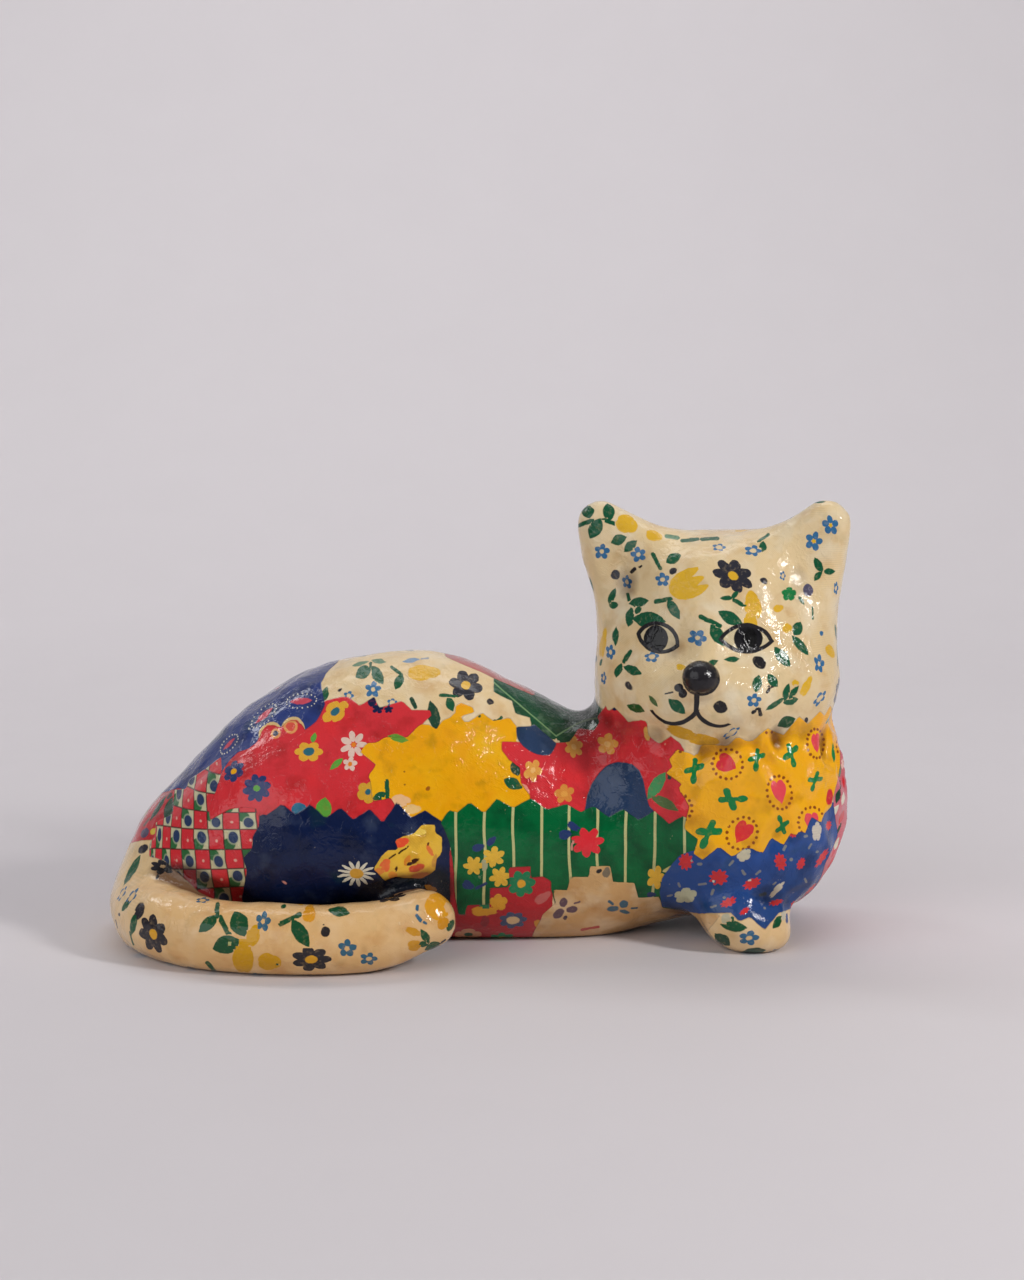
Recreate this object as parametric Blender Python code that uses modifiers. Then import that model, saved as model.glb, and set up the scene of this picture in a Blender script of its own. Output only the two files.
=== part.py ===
"""A lying papier-mache cat, one closed solid, in metres with +Z up.

The cat lies along X with its chest at +X, turns its face to -Y and wraps its tail round its near side.
It is shaped the way a pulp figure is: balls of pulp are set on each other, a skin is laid over them, and
the skin is pressed on to a form in which the balls run smoothly into each other.
"""

import math

import bmesh
import bpy
import numpy as np
from mathutils import Euler, Matrix, Vector

# Driving sizes of the figure
BODY_HALF_WIDTH = 0.054
BACK_HEIGHT = 0.1155
SADDLE_HEIGHT = 0.0865
CHEST_X = 0.098
CHEST_HEIGHT_CENTRE = 0.058

HEAD_CENTRE = Vector((0.0985, -0.004, 0.121))
HEAD_HALF_WIDTH = 0.0445
HEAD_HALF_DEPTH = 0.043
HEAD_HALF_HEIGHT = 0.041
HEAD_YAW = math.radians(-10.5)
HEAD_NOD = math.radians(3.0)
CROWN_RADII = (0.036, 0.030, 0.0180)
EAR_SPREAD = 0.0455
EAR_SHIFT = -0.0020
EAR_TIP_HEIGHTS = {-1: 0.0472, 1: 0.0490}
EYE_SPREAD = 0.018
NOSE_RADIUS = 0.0072

TAIL_RADIUS = 0.0140
TAIL_TIP_RADIUS = 0.0118
ROLL_STEP = 0.005

# How far one form runs into the next, from soft to sharp
TRUNK_BLEND = 0.022
THIGH_BLEND = 0.008
HEAD_BLEND = 0.016
NECK_BLEND = 0.007
PAW_BLEND = 0.007
TAIL_BLEND = 0.006
FACE_BLEND = 0.012
NOSE_BLEND = 0.0016
DENT_BLEND = 0.012
FLOOR_BLEND = 0.0020

# The skin
SKIN_VOXEL = 0.0030
SKIN_STEPS = 14
SKIN_TRIANGLES = 9450
FACE_DEPTH = 0.022
FACE_HALF_WIDTH = 0.036
FACE_DROP = 0.034
SOLE_CUT = 0.0006
PROBE = 0.0002

PAPER_COLOUR = (0.80, 0.70, 0.46, 1.0)
PAPER_ROUGHNESS = 0.28


class Ball:
    """A ball of pulp, stretched to its own radii and turned."""

    def __init__(self, centre, radii, turn=(0.0, 0.0, 0.0), frame=None):
        frame = frame or Matrix.Identity(4)
        spin = Euler([math.radians(a) for a in turn]).to_matrix()
        self.centre = frame @ Vector(centre)
        self.axes = frame.to_3x3() @ spin
        self.radii = Vector(radii)

    def matrix(self):
        return Matrix.Translation(self.centre) @ self.axes.to_4x4() @ Matrix.Diagonal(self.radii).to_4x4()

    def depth(self, points):
        """How far points lie outside the ball, below zero inside it."""
        own = (points - np.array(self.centre)) @ np.array(self.axes)
        radii = np.array(self.radii)
        ratio = np.linalg.norm(own / radii, axis=1)
        slope = np.linalg.norm(own / radii**2, axis=1)
        return ratio * (ratio - 1.0) / np.maximum(slope, 1e-9)


class Roll:
    """A roll of pulp along a curved route of points that each carry a radius."""

    def __init__(self, route, frame=None, depth_share=1.0):
        self.frame = frame or Matrix.Identity(4)
        self.depth_share = depth_share
        self.rows = np.array(smooth_path(route, ROLL_STEP))

    def balls(self):
        return [
            Ball(row[:3], (row[3], row[3] * self.depth_share, row[3]), frame=self.frame) for row in self.rows
        ]

    def depth(self, points):
        own = (points - np.array(self.frame.translation)) @ np.array(self.frame.to_3x3())
        squeeze = np.array((1.0, 1.0 / self.depth_share, 1.0))
        own = own * squeeze
        nearest = np.full(len(own), np.inf)
        for a, b in zip(self.rows, self.rows[1:]):
            start, along = a[:3] * squeeze, (b[:3] - a[:3]) * squeeze
            share = np.clip((own - start) @ along / (along @ along), 0.0, 1.0)
            gap = np.linalg.norm(own - start - share[:, None] * along, axis=1)
            nearest = np.minimum(nearest, gap - a[3] - share * (b[3] - a[3]))
        return nearest * self.depth_share


def soft_union(a, b, width):
    """The nearer of two forms, run into each other over width."""
    share = np.clip(0.5 + 0.5 * (b - a) / width, 0.0, 1.0)
    return b + (a - b) * share - width * share * (1.0 - share)


def soft_cut(a, b, width):
    """Form a with form b taken away."""
    return -soft_union(-a, b, width)


def union_of(balls, points, width):
    form = balls[0].depth(points)
    for ball in balls[1:]:
        form = soft_union(form, ball.depth(points), width)
    return form


def smooth_path(points, step):
    """Points a step apart on a Catmull-Rom curve through the given rows, which may carry a radius too."""
    rows = np.array(points, float)
    rows = np.vstack([2 * rows[0] - rows[1], rows, 2 * rows[-1] - rows[-2]])
    made = []
    for a, b, c, d in zip(rows, rows[1:], rows[2:], rows[3:]):
        count = max(2, math.ceil(np.linalg.norm((c - b)[:3]) / step))
        for t in np.arange(count) / count:
            made.append(
                0.5 * (2 * b + (c - a) * t + (2 * a - 5 * b + 4 * c - d) * t**2 + (3 * b - 3 * c + d - a) * t**3)
            )
    made.append(rows[-2])
    return made


def trunk_balls():
    """Rump, haunch, belly and chest, from the tail end to the chest end."""
    width = BODY_HALF_WIDTH
    return [
        Ball((-0.0865, 0.0, 0.037), (0.068, width * 0.93, 0.0440), (0.0, -45.0, 0.0)),
        Ball((-0.113, 0.0, 0.024), (0.025, width * 0.70, 0.027)),
        Ball((-0.030, 0.0, BACK_HEIGHT - 0.0595), (0.0730, width * 0.94, 0.0595)),
        Ball((0.030, 0.0, SADDLE_HEIGHT - 0.046), (0.072, width * 0.80, 0.046)),
        Ball((CHEST_X, 0.0, CHEST_HEIGHT_CENTRE), (0.0478, width * 0.87, 0.046)),
        Ball((CHEST_X, -0.006, CHEST_HEIGHT_CENTRE + 0.023), (0.045, width * 0.84, 0.040)),
    ]


def thigh_balls(side):
    """The bulging thigh and its knee on one side: -1 is the near side."""
    return [
        Ball((-0.066, side * 0.031, 0.047), (0.053, 0.029, 0.038), (0.0, -10.0, 0.0)),
        Ball((-0.034, side * 0.041, 0.037), (0.021, 0.018, 0.024)),
    ]


def shoulder_balls(side):
    return [Ball((0.112, side * 0.020, 0.046), (0.0338, 0.029, 0.033))]


def paw_balls():
    """The two folded front paws, the near one a little behind the far one."""
    return [
        Ball((0.1073, -0.034, 0.0125), (0.0202, 0.019, 0.0142), (0.0, 26.0, 0.0)),
        Ball((0.113, 0.026, 0.012), (0.021, 0.018, 0.015), (0.0, 14.0, 0.0)),
    ]


def tail_roll():
    """The tail, from its root behind the rump, round the near side, to its lifted round tip."""
    thick = TAIL_RADIUS
    return Roll(
        [
            (-0.098, 0.036, 0.030, thick * 1.20),
            (-0.124, 0.022, 0.019, thick * 1.20),
            (-0.1335, -0.008, 0.0155, thick * 1.16),
            (-0.127, -0.042, 0.0145, thick * 1.10),
            (-0.106, -0.064, 0.0135, thick * 1.02),
            (-0.073, -0.073, 0.0135, thick),
            (-0.042, -0.071, 0.0140, thick * 0.98),
            (-0.019, -0.064, 0.0190, TAIL_TIP_RADIUS),
        ]
    )


def web_ball():
    """The paper that closes the gap between the tail and the thigh, low down."""
    return Ball((-0.076, -0.044, 0.003), (0.048, 0.025, 0.011))


def head_frame():
    """The head's own axes: X to the viewer's right, -Y out of the face, Z up."""
    turn = Euler((HEAD_NOD, 0.0, HEAD_YAW)).to_matrix().to_4x4()
    return Matrix.Translation(HEAD_CENTRE) @ turn


def head_balls(frame):
    wide, deep, high = HEAD_HALF_WIDTH, HEAD_HALF_DEPTH, HEAD_HALF_HEIGHT
    balls = [
        Ball((0.0, 0.0, 0.0), (wide, deep, high), frame=frame),
        Ball((0.0, 0.002, 0.022), CROWN_RADII, frame=frame),
    ]
    for side in (-1, 1):
        balls.append(Ball((side * 0.025, -0.009, -0.016), (0.0235, 0.029, 0.022), frame=frame))
    return balls


def muzzle_balls(frame):
    balls = [
        Ball((0.0, -0.033, -0.004), (0.016, 0.022, 0.017), frame=frame),
        Ball((0.0, -0.038, -0.026), (0.014, 0.013, 0.009), frame=frame),
    ]
    for side in (-1, 1):
        balls.append(Ball((side * 0.010, -0.038, -0.016), (0.016, 0.016, 0.012), frame=frame))
    return balls


def ear_roll(frame, side):
    """A thick ear that leans outwards and thins to a rounded tip."""
    return Roll(
        [
            (EAR_SHIFT + side * 0.0270, -0.002, 0.0200, 0.0195),
            (EAR_SHIFT + side * (EAR_SPREAD - 0.0085), -0.003, 0.0345, 0.0162),
            (EAR_SHIFT + side * EAR_SPREAD, -0.004, EAR_TIP_HEIGHTS[side], 0.0098),
        ],
        frame,
        0.85,
    )


def dents(frame):
    """Shallow eye sockets and the hollow fronts of the ears."""
    hollows = []
    for side in (-1, 1):
        hollows.append(Ball((side * EYE_SPREAD, -0.053, 0.0085), (0.013, 0.009, 0.008), frame=frame))
        hollows.append(Ball((side * 0.040, -0.026, 0.035), (0.010, 0.010, 0.016), (0, side * 14, 0), frame=frame))
    return hollows


class Cat:
    """All the balls and rolls, and the one form they make together."""

    def __init__(self):
        frame = head_frame()
        self.trunk = trunk_balls() + shoulder_balls(-1) + shoulder_balls(1)
        self.thighs = [thigh_balls(side) for side in (-1, 1)]
        self.head = head_balls(frame)
        self.ears = [ear_roll(frame, side) for side in (-1, 1)]
        self.muzzle = muzzle_balls(frame)
        self.nose = Ball((0.0, -0.0565, -0.0055), (NOSE_RADIUS, NOSE_RADIUS, NOSE_RADIUS * 0.9), frame=frame)
        self.paws = paw_balls()
        self.tail = tail_roll()
        self.web = web_ball()
        self.dents = dents(frame)

    def all_balls(self):
        rolls = [ball for roll in [self.tail, *self.ears] for ball in roll.balls()]
        thighs = [ball for thigh in self.thighs for ball in thigh]
        return self.trunk + thighs + self.head + self.muzzle + [self.nose, self.web] + self.paws + rolls

    def depth(self, points):
        head = union_of(self.head, points, HEAD_BLEND)
        for ear in self.ears:
            head = soft_union(head, ear.depth(points), HEAD_BLEND)
        head = soft_union(head, union_of(self.muzzle, points, FACE_BLEND), HEAD_BLEND)
        for hollow in self.dents:
            head = soft_cut(head, hollow.depth(points), DENT_BLEND)
        head = soft_union(head, self.nose.depth(points), NOSE_BLEND)
        form = union_of(self.trunk, points, TRUNK_BLEND)
        for thigh in self.thighs:
            form = soft_union(form, union_of(thigh, points, THIGH_BLEND), THIGH_BLEND)
        form = soft_union(form, head, NECK_BLEND)
        for paw in self.paws:
            form = soft_union(form, paw.depth(points), PAW_BLEND)
        form = soft_union(form, self.web.depth(points), TAIL_BLEND)
        form = soft_union(form, self.tail.depth(points), TAIL_BLEND)
        return -soft_union(-form, points[:, 2], FLOOR_BLEND)


def clear_scene():
    for item in list(bpy.data.objects):
        bpy.data.objects.remove(item)


def rough_skin(cat):
    """A closed skin over all the balls as they lie, made by one voxel remesh."""
    rough = bmesh.new()
    for ball in cat.all_balls():
        bmesh.ops.create_uvsphere(rough, u_segments=24, v_segments=14, radius=1.0, matrix=ball.matrix())
    mesh = bpy.data.meshes.new("skin")
    rough.to_mesh(mesh)
    rough.free()
    skin = bpy.data.objects.new("skin", mesh)
    bpy.context.scene.collection.objects.link(skin)
    remesh = skin.modifiers.new("skin", "REMESH")
    remesh.mode = "VOXEL"
    remesh.voxel_size = SKIN_VOXEL
    made = bpy.data.meshes.new_from_object(skin.evaluated_get(bpy.context.evaluated_depsgraph_get()))
    bpy.data.objects.remove(skin)
    return made


def press_on(mesh, cat):
    """Moves the skin's points along the form's slope until they lie on it, relaxing them on the way."""
    count = len(mesh.vertices)
    points = np.empty(count * 3)
    mesh.vertices.foreach_get("co", points)
    points = points.reshape(-1, 3)
    ends = np.empty(len(mesh.edges) * 2, int)
    mesh.edges.foreach_get("vertices", ends)
    ends = ends.reshape(-1, 2)
    neighbours = np.bincount(ends.ravel(), minlength=count)[:, None]
    for step in range(SKIN_STEPS):
        depth = cat.depth(points)
        slope = np.stack([cat.depth(points + PROBE * axis) - depth for axis in np.eye(3)], axis=1) / PROBE
        square = np.maximum((slope**2).sum(axis=1), 0.05)
        points = points - slope * (depth / square)[:, None]
        if step < SKIN_STEPS - 4:
            total = np.zeros_like(points)
            np.add.at(total, ends[:, 0], points[ends[:, 1]])
            np.add.at(total, ends[:, 1], points[ends[:, 0]])
            points = points + 0.5 * (total / neighbours - points)
    mesh.vertices.foreach_set("co", points.ravel())
    mesh.update()


def thin_out(mesh, frame):
    """Fewer faces where the form is plain, and all of them on the face."""
    figure = bpy.data.objects.new("skin", mesh)
    bpy.context.scene.collection.objects.link(figure)
    plain = figure.vertex_groups.new(name="plain")
    to_face = frame.inverted()
    for vertex in mesh.vertices:
        x, y, z = to_face @ vertex.co
        on_face = abs(x) < FACE_HALF_WIDTH and y < -FACE_DEPTH and z > -FACE_DROP
        plain.add([vertex.index], 0.0 if on_face else 1.0, "REPLACE")
    thin = figure.modifiers.new("fewer faces", "DECIMATE")
    thin.vertex_group = "plain"
    triangles = sum(len(face.vertices) - 2 for face in mesh.polygons)
    thin.ratio = min(1.0, SKIN_TRIANGLES / triangles)
    made = bpy.data.meshes.new_from_object(figure.evaluated_get(bpy.context.evaluated_depsgraph_get()))
    bpy.data.objects.remove(figure)
    return made


def cut_sole(mesh):
    """Cuts the underside off flat, so the figure rests on a true plane."""
    form = bmesh.new()
    form.from_mesh(mesh)
    everything = form.verts[:] + form.edges[:] + form.faces[:]
    cut = bmesh.ops.bisect_plane(
        form, geom=everything, plane_co=(0.0, 0.0, SOLE_CUT), plane_no=(0.0, 0.0, -1.0), clear_outer=True
    )
    rim = [item for item in cut["geom_cut"] if isinstance(item, bmesh.types.BMEdge)]
    bmesh.ops.triangle_fill(form, edges=rim, use_beauty=True)
    bmesh.ops.recalc_face_normals(form, faces=form.faces)
    bmesh.ops.translate(form, verts=form.verts, vec=(0.0, 0.0, -SOLE_CUT))
    form.to_mesh(mesh)
    form.free()


def centre(mesh):
    """Puts the middle of the figure's box over the origin."""
    points = np.array([vertex.co for vertex in mesh.vertices])
    middle = (points.min(axis=0) + points.max(axis=0)) / 2
    mesh.transform(Matrix.Translation((-middle[0], -middle[1], 0.0)))


def paper_material():
    material = bpy.data.materials.new("varnished_paper")
    material.use_nodes = True
    shader = material.node_tree.nodes["Principled BSDF"]
    shader.inputs["Base Color"].default_value = PAPER_COLOUR
    shader.inputs["Roughness"].default_value = PAPER_ROUGHNESS
    return material


def build_cat():
    cat = Cat()
    skin = rough_skin(cat)
    press_on(skin, cat)
    mesh = thin_out(skin, head_frame())
    cut_sole(mesh)
    centre(mesh)
    mesh.name = "papier_mache_cat"
    mesh.materials.clear()
    mesh.materials.append(paper_material())
    mesh.shade_smooth()
    return bpy.data.objects.new("papier_mache_cat", mesh)


def main():
    clear_scene()
    collection = bpy.data.collections.new("papier_mache_cat")
    bpy.context.scene.collection.children.link(collection)
    collection.objects.link(build_cat())


main()
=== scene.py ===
"""The looks of the papier-mache cat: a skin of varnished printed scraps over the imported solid.

Lengths are in metres, except where a name says pixels or mm. The scraps and their prints are laid on the
skin by the places where they show in the photograph, whose camera is made first.
"""

import math
import random
from collections import namedtuple
from functools import reduce

import bmesh
import bpy
import numpy as np
from mathutils import Matrix, Vector, noise
from mathutils.bvhtree import BVHTree

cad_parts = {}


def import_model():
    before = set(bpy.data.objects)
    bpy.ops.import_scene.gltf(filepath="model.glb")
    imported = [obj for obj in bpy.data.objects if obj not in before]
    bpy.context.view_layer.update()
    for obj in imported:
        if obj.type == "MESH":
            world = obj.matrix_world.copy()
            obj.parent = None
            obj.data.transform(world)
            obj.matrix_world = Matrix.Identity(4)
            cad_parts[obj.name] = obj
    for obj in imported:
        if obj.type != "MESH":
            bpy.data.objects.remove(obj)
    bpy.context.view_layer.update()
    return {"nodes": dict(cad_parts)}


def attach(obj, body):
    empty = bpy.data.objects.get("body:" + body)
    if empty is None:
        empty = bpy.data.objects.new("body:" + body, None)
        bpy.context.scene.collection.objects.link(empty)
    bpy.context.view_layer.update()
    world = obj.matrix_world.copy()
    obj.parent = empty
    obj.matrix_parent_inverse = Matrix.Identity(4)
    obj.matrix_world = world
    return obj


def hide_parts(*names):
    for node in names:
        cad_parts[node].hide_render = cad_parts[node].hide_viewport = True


MM = 0.001

# The photograph and its camera
PHOTO_WIDTH = 1024
PHOTO_HEIGHT = 1280
LENS_MM = 72.2
SENSOR_MM = 36.0
FOCAL_PIXELS = LENS_MM / SENSOR_MM * PHOTO_HEIGHT
CAMERA_PITCH = math.radians(8.0)
CAMERA_DISTANCE = 1.05
CAMERA_CLIP_START = 0.05
CAMERA_TARGET = np.array((0.0139, 0.0141, 0.1195))
CAMERA_RIGHT = np.array((1.0, 0.0, 0.0))
CAMERA_FORWARD = np.array((0.0, math.cos(CAMERA_PITCH), -math.sin(CAMERA_PITCH)))
CAMERA_UP = np.array((0.0, math.sin(CAMERA_PITCH), math.cos(CAMERA_PITCH)))
CAMERA_EYE = CAMERA_TARGET - CAMERA_DISTANCE * CAMERA_FORWARD

# The skin
WELD_DISTANCE = 1e-6
SKIN_VOXEL = 0.0014
SKIN_RELAX_PASSES = 16
RELAX_INWARDS = 0.52
RELAX_OUTWARDS = -0.54
SMOOTH_NORMAL_PASSES = 12
LUMP_HEIGHT_MM = 0.85
LUMP_SIZE = 0.021
LUMP_SEED = 3.0
RIPPLE_HEIGHT_MM = 0.34
RIPPLE_SIZE = 0.0075
RIPPLE_SEED = 11.0
CALM_REACH = 0.004

# The chest's folds, and where they fade out: towards the belly, the head and the paws
FOLD_HEIGHT_MM = 2.7
FOLD_SIZE = 0.0118
FOLD_SEED = 23.0
FOLD_STRETCH = np.array((1.0, 1.0, 0.6))
FOLD_LEVEL = 0.80
CHEST_START = 0.055
CHEST_START_FADE = 0.03
CHEST_TOP = 0.098
CHEST_TOP_FADE = 0.015
CHEST_FOOT = 0.030
CHEST_FOOT_FADE = 0.02
CHEST_FOOT_LEAST = 0.25

# Where the skin is darkened, as dirt and as painted shade: in creases, beside the tail and on the underside
HOLLOW_PASSES = 100
CREASE_REACH_MM = 13.0
CREASE_SHADE_AND_DIRT = 3.4
CREASE_START = -0.132
CREASE_FADE = 0.022
CREASE_DEPTH_MM = 0.4
UNDER_SHADE_AND_DIRT = 6.0
UNDER_SLOPE = 0.72
UNDER_TOP = 0.02
UNDER_FADE = 0.01

# Where varnish has yellowed: on the tail, less towards its far end, and low down, but not on the head
TAIL_BLEND_MM = 4.0
TAIL_END = -0.17
TAIL_END_FADE = 0.06
TAIL_END_WARMTH = 0.35
LOW_WARMTH = 0.6
LOW_TOP = 0.045
LOW_FADE = 0.03
HEAD_BLEND_MM = 8.0

# Where the head and the tail lie on the figure: the head as oval balls, each with its middle and its radii
# in the head's own axes, and the tail as places along its middle, each with the tail's radius there
HEAD_CENTRE = Vector((0.0978, 0.0093, 0.1204))
HEAD_YAW = math.radians(-10.5)
HEAD_BALLS = (
    ((0.0, 0.0, 0.0), (0.0445, 0.043, 0.041)),
    ((-0.025, -0.009, -0.016), (0.0235, 0.029, 0.022)),
    ((0.025, -0.009, -0.016), (0.0235, 0.029, 0.022)),
    ((0.0, -0.033, -0.004), (0.016, 0.022, 0.017)),
    ((0.0, -0.038, -0.026), (0.014, 0.013, 0.009)),
)
CHEEK_HEIGHT = -0.004
HEAD_EDGE_MM = 1.5
NOSE_CENTRE = np.array((-0.0010, -0.0565, -0.0067))
NOSE_RADII = np.array((0.0072, 0.0072, 0.0065))
NOSE_PULL_REACH = 1.25
NOSE_ROUNDING = 0.9
NOSE_EDGE_MM = 0.2
TAIL_ROUTE = (
    (-0.0987, 0.0493, 0.0294, 0.0168),
    (-0.1247, 0.0353, 0.0184, 0.0168),
    (-0.1342, 0.0053, 0.0149, 0.0162),
    (-0.1277, -0.0287, 0.0139, 0.0154),
    (-0.1067, -0.0507, 0.0129, 0.0143),
    (-0.0737, -0.0597, 0.0129, 0.0140),
    (-0.0427, -0.0577, 0.0134, 0.0137),
    (-0.0197, -0.0507, 0.0184, 0.0118),
)
TAIL_EDGE_MM = 1.5
ROUTE_STEPS = 6

# Where the cloths' weave turns round the figure's ends, and from what height it leans back
STRAIGHT_PART = 0.087
END_BEND = 0.045
BACK_START = 0.052
BACK_SLOPE = 0.22

# Where the painted face is measured from, and the part of the head that it may lie on
FACE_ORIGIN_PIXELS = (701.0, 679.0)
FACE_MM_PER_PIXEL = 0.386
FACE_BACK = -0.018
FACE_BOTTOM = -0.034
FACE_FACING = 0.1

# How scraps are cut
TOOTH_PITCH_MM = 11.5
TOOTH_HEIGHT_MM = 5.2
EDGE_REACH_MM = 9.0
OUTLINE_STEP_PIXELS = 4.0
BIGGEST_STEP_MM = 11.0
EDGE_SPARE_MM = 0.6
EDGE_WAVER_MM = 0.8
LEVELS = ("base", "middle", "top")

# Printed colours, as eight-bit screen values
CREAM = (230, 204, 158)
WARM_CREAM = (206, 168, 116)
PEACH = (224, 166, 132)
WHITE = (222, 218, 200)
PINK_WHITE = (228, 198, 182)
STRIPE_CREAM = (202, 200, 140)
CHARCOAL = (36, 34, 38)
RED = (213, 50, 58)
DEEP_RED = (186, 42, 50)
PINK_RED = (232, 76, 88)
BURST_RED = (214, 54, 58)
PAISLEY_RED = (206, 74, 92)
SCALLOP_RED = (222, 84, 66)
FLAG_RED = (222, 48, 58)
FADED_RED = (176, 104, 98)
FADED_PINK = (206, 110, 122)
HEART_BROWN = (146, 72, 22)
SPOT_BROWN = (150, 96, 20)
ORANGE = (230, 130, 40)
PALE_ORANGE = (226, 160, 72)
SPOT_PEACH = (232, 156, 92)
SCALLOP_CREAM = (222, 190, 130)
PALE_GOLD = (238, 186, 110)
GOLDEN = (242, 172, 8)
GOLD_PETALS = (228, 170, 52)
DAISY_GOLD = (218, 164, 62)
SOFT_GOLD = (222, 168, 42)
OLD_GOLD = (208, 162, 52)
HEARTS_YELLOW = (248, 180, 28)
TULIP_YELLOW = (226, 178, 48)
TAIL_YELLOW = (212, 172, 20)
SUNNY = (232, 186, 62)
FENCE_GREEN = (0, 102, 54)
SADDLE_GREEN = (22, 80, 54)
LEAF_GREEN = (22, 88, 58)
DARK_LEAF_GREEN = (34, 72, 54)
FADED_GREEN = (98, 136, 104)
SPRIG_GREEN = (20, 126, 66)
FRESH_GREEN = (92, 164, 62)
GRASS_GREEN = (104, 156, 56)
FLOWER_GREEN = (34, 132, 88)
TEAL = (44, 104, 120)
NAVY = (12, 28, 68)
NAVY_FLOWER = (40, 58, 108)
ARCH_BLUE = (40, 62, 96)
PAISLEY_BLUE = (42, 60, 124)
DITSY_BLUE = (38, 76, 146)
FLOWER_BLUE = (56, 112, 158)
DARK_FLOWER = (46, 46, 56)
GREY_BLUE = (74, 90, 128)
SLATE = (64, 100, 124)
MAUVE = (104, 84, 98)
TICK_GREY = (132, 136, 140)


def linear(colour):
    """A screen colour as the linear values that a renderer works with."""
    return tuple(
        (share / 12.92 if share <= 0.04045 else ((share + 0.055) / 1.055) ** 2.4)
        for share in (value / 255.0 for value in colour)
    )


def make_camera():
    data = bpy.data.cameras.new("photo_camera")
    data.lens = LENS_MM
    data.sensor_width = SENSOR_MM
    data.clip_start = CAMERA_CLIP_START
    camera = bpy.data.objects.new("photo_camera", data)
    axes = Matrix((CAMERA_RIGHT, CAMERA_UP, -CAMERA_FORWARD)).transposed()
    camera.matrix_world = Matrix.Translation(CAMERA_EYE) @ axes.to_4x4()
    bpy.context.scene.collection.objects.link(camera)
    bpy.context.scene.camera = camera


def to_photo(points):
    """Where points in metres show in the photograph, in its pixels."""
    offset = points - CAMERA_EYE
    depth = offset @ CAMERA_FORWARD
    across = PHOTO_WIDTH / 2 + FOCAL_PIXELS * (offset @ CAMERA_RIGHT) / depth
    down = PHOTO_HEIGHT / 2 - FOCAL_PIXELS * (offset @ CAMERA_UP) / depth
    return np.stack((across, down), axis=1)


def sight(across, down):
    """The direction in which the camera sees a place in the photograph."""
    right = (across - PHOTO_WIDTH / 2) / FOCAL_PIXELS
    up = (PHOTO_HEIGHT / 2 - down) / FOCAL_PIXELS
    return Vector(CAMERA_FORWARD + right * CAMERA_RIGHT + up * CAMERA_UP).normalized()


def fade(values, start, width, least=0.0):
    """How far values are past a start, as a share of a width that may point downwards, up to 1."""
    return np.clip((values - start) / width, least, 1.0)


def turned(right, up, degrees):
    """Two directions, or two coordinates, turned by an angle."""
    cosine = math.cos(math.radians(degrees))
    sine = math.sin(math.radians(degrees))
    return cosine * right + sine * up, cosine * up - sine * right


class Skin:
    """The fine skin's mesh with what is known at each of its points."""

    def __init__(self, mesh):
        self.mesh = mesh
        self.ends = read(mesh.edges, "vertices", 2, np.int32)
        self.points = read(mesh.vertices, "co", 3, np.float64)
        self.degree = np.bincount(self.ends.ravel(), minlength=len(self.points))[:, None]

    def average(self, values):
        """Each point's value replaced by the mean of its neighbours."""
        first, second = self.ends.T
        total = np.empty_like(values)
        for axis, column in enumerate(values.T):
            from_second = np.bincount(first, column[second], minlength=len(values))
            from_first = np.bincount(second, column[first], minlength=len(values))
            total[:, axis] = from_second + from_first
        return total / self.degree

    def relax(self, passes):
        """Smooths the skin without letting it shrink."""
        for _ in range(passes):
            for step in (RELAX_INWARDS, RELAX_OUTWARDS):
                self.points += step * (self.average(self.points) - self.points)

    def store(self):
        self.mesh.vertices.foreach_set("co", self.points.ravel())
        self.mesh.update()

    def normals(self):
        return read(self.mesh.vertices, "normal", 3, np.float64)

    def survey(self):
        """Measures the finished skin: normals, corners, faces and where each point lies and shows."""
        self.store()
        normal = self.normals()
        for _ in range(SMOOTH_NORMAL_PASSES):
            normal = self.average(normal)
            normal /= np.linalg.norm(normal, axis=1)[:, None]
        self.smooth_normal = normal
        self.corner = read(self.mesh.loops, "vertex_index", 1, np.int32).ravel()
        self.face_start = read(self.mesh.polygons, "loop_start", 1, np.int32).ravel()
        self.face_size = read(self.mesh.polygons, "loop_total", 1, np.int32).ravel()
        self.face_of_corner = np.repeat(np.arange(len(self.face_size)), self.face_size)
        self.face_centre = read(self.mesh.polygons, "center", 3, np.float64)
        self.face_normal = read(self.mesh.polygons, "normal", 3, np.float64)
        self.shown_at = to_photo(self.points)
        self.facing = ((CAMERA_EYE - self.points) * normal).sum(axis=1)
        self.near = self.facing > 0.0
        self.head_depth = head_depth(self.points)
        self.tail_depth = tail_depth(self.points)
        faces = [tuple(face.vertices) for face in self.mesh.polygons]
        self.tree = BVHTree.FromPolygons(self.points.tolist(), faces)

    def hit(self, across, down, far=False):
        """The place on the skin's near or far side at a place in the photograph, or None beside the skin."""
        direction = sight(across, down)
        start = Vector(CAMERA_EYE)
        if far:
            start = start + direction * (2.0 * CAMERA_DISTANCE)
            direction = -direction
        place, _, _, _ = self.tree.ray_cast(start, direction)
        return place


def read(items, field, width, kind):
    values = np.empty(len(items) * width, kind)
    items.foreach_get(field, values)
    return values.reshape(-1, width)


def head_axes():
    return Matrix.Translation(HEAD_CENTRE) @ Matrix.Rotation(HEAD_YAW, 4, "Z")


def in_head(points):
    """Points in the head's own axes: X to the viewer's right, -Y out of the face, Z up."""
    axes = np.array(head_axes())
    return (points - axes[:3, 3]) @ axes[:3, :3]


def nose_share(own):
    """How far points in the head's own axes lie from the nose's middle, as a share of the nose's radii."""
    return np.linalg.norm((own - NOSE_CENTRE) / NOSE_RADII, axis=1)


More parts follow.
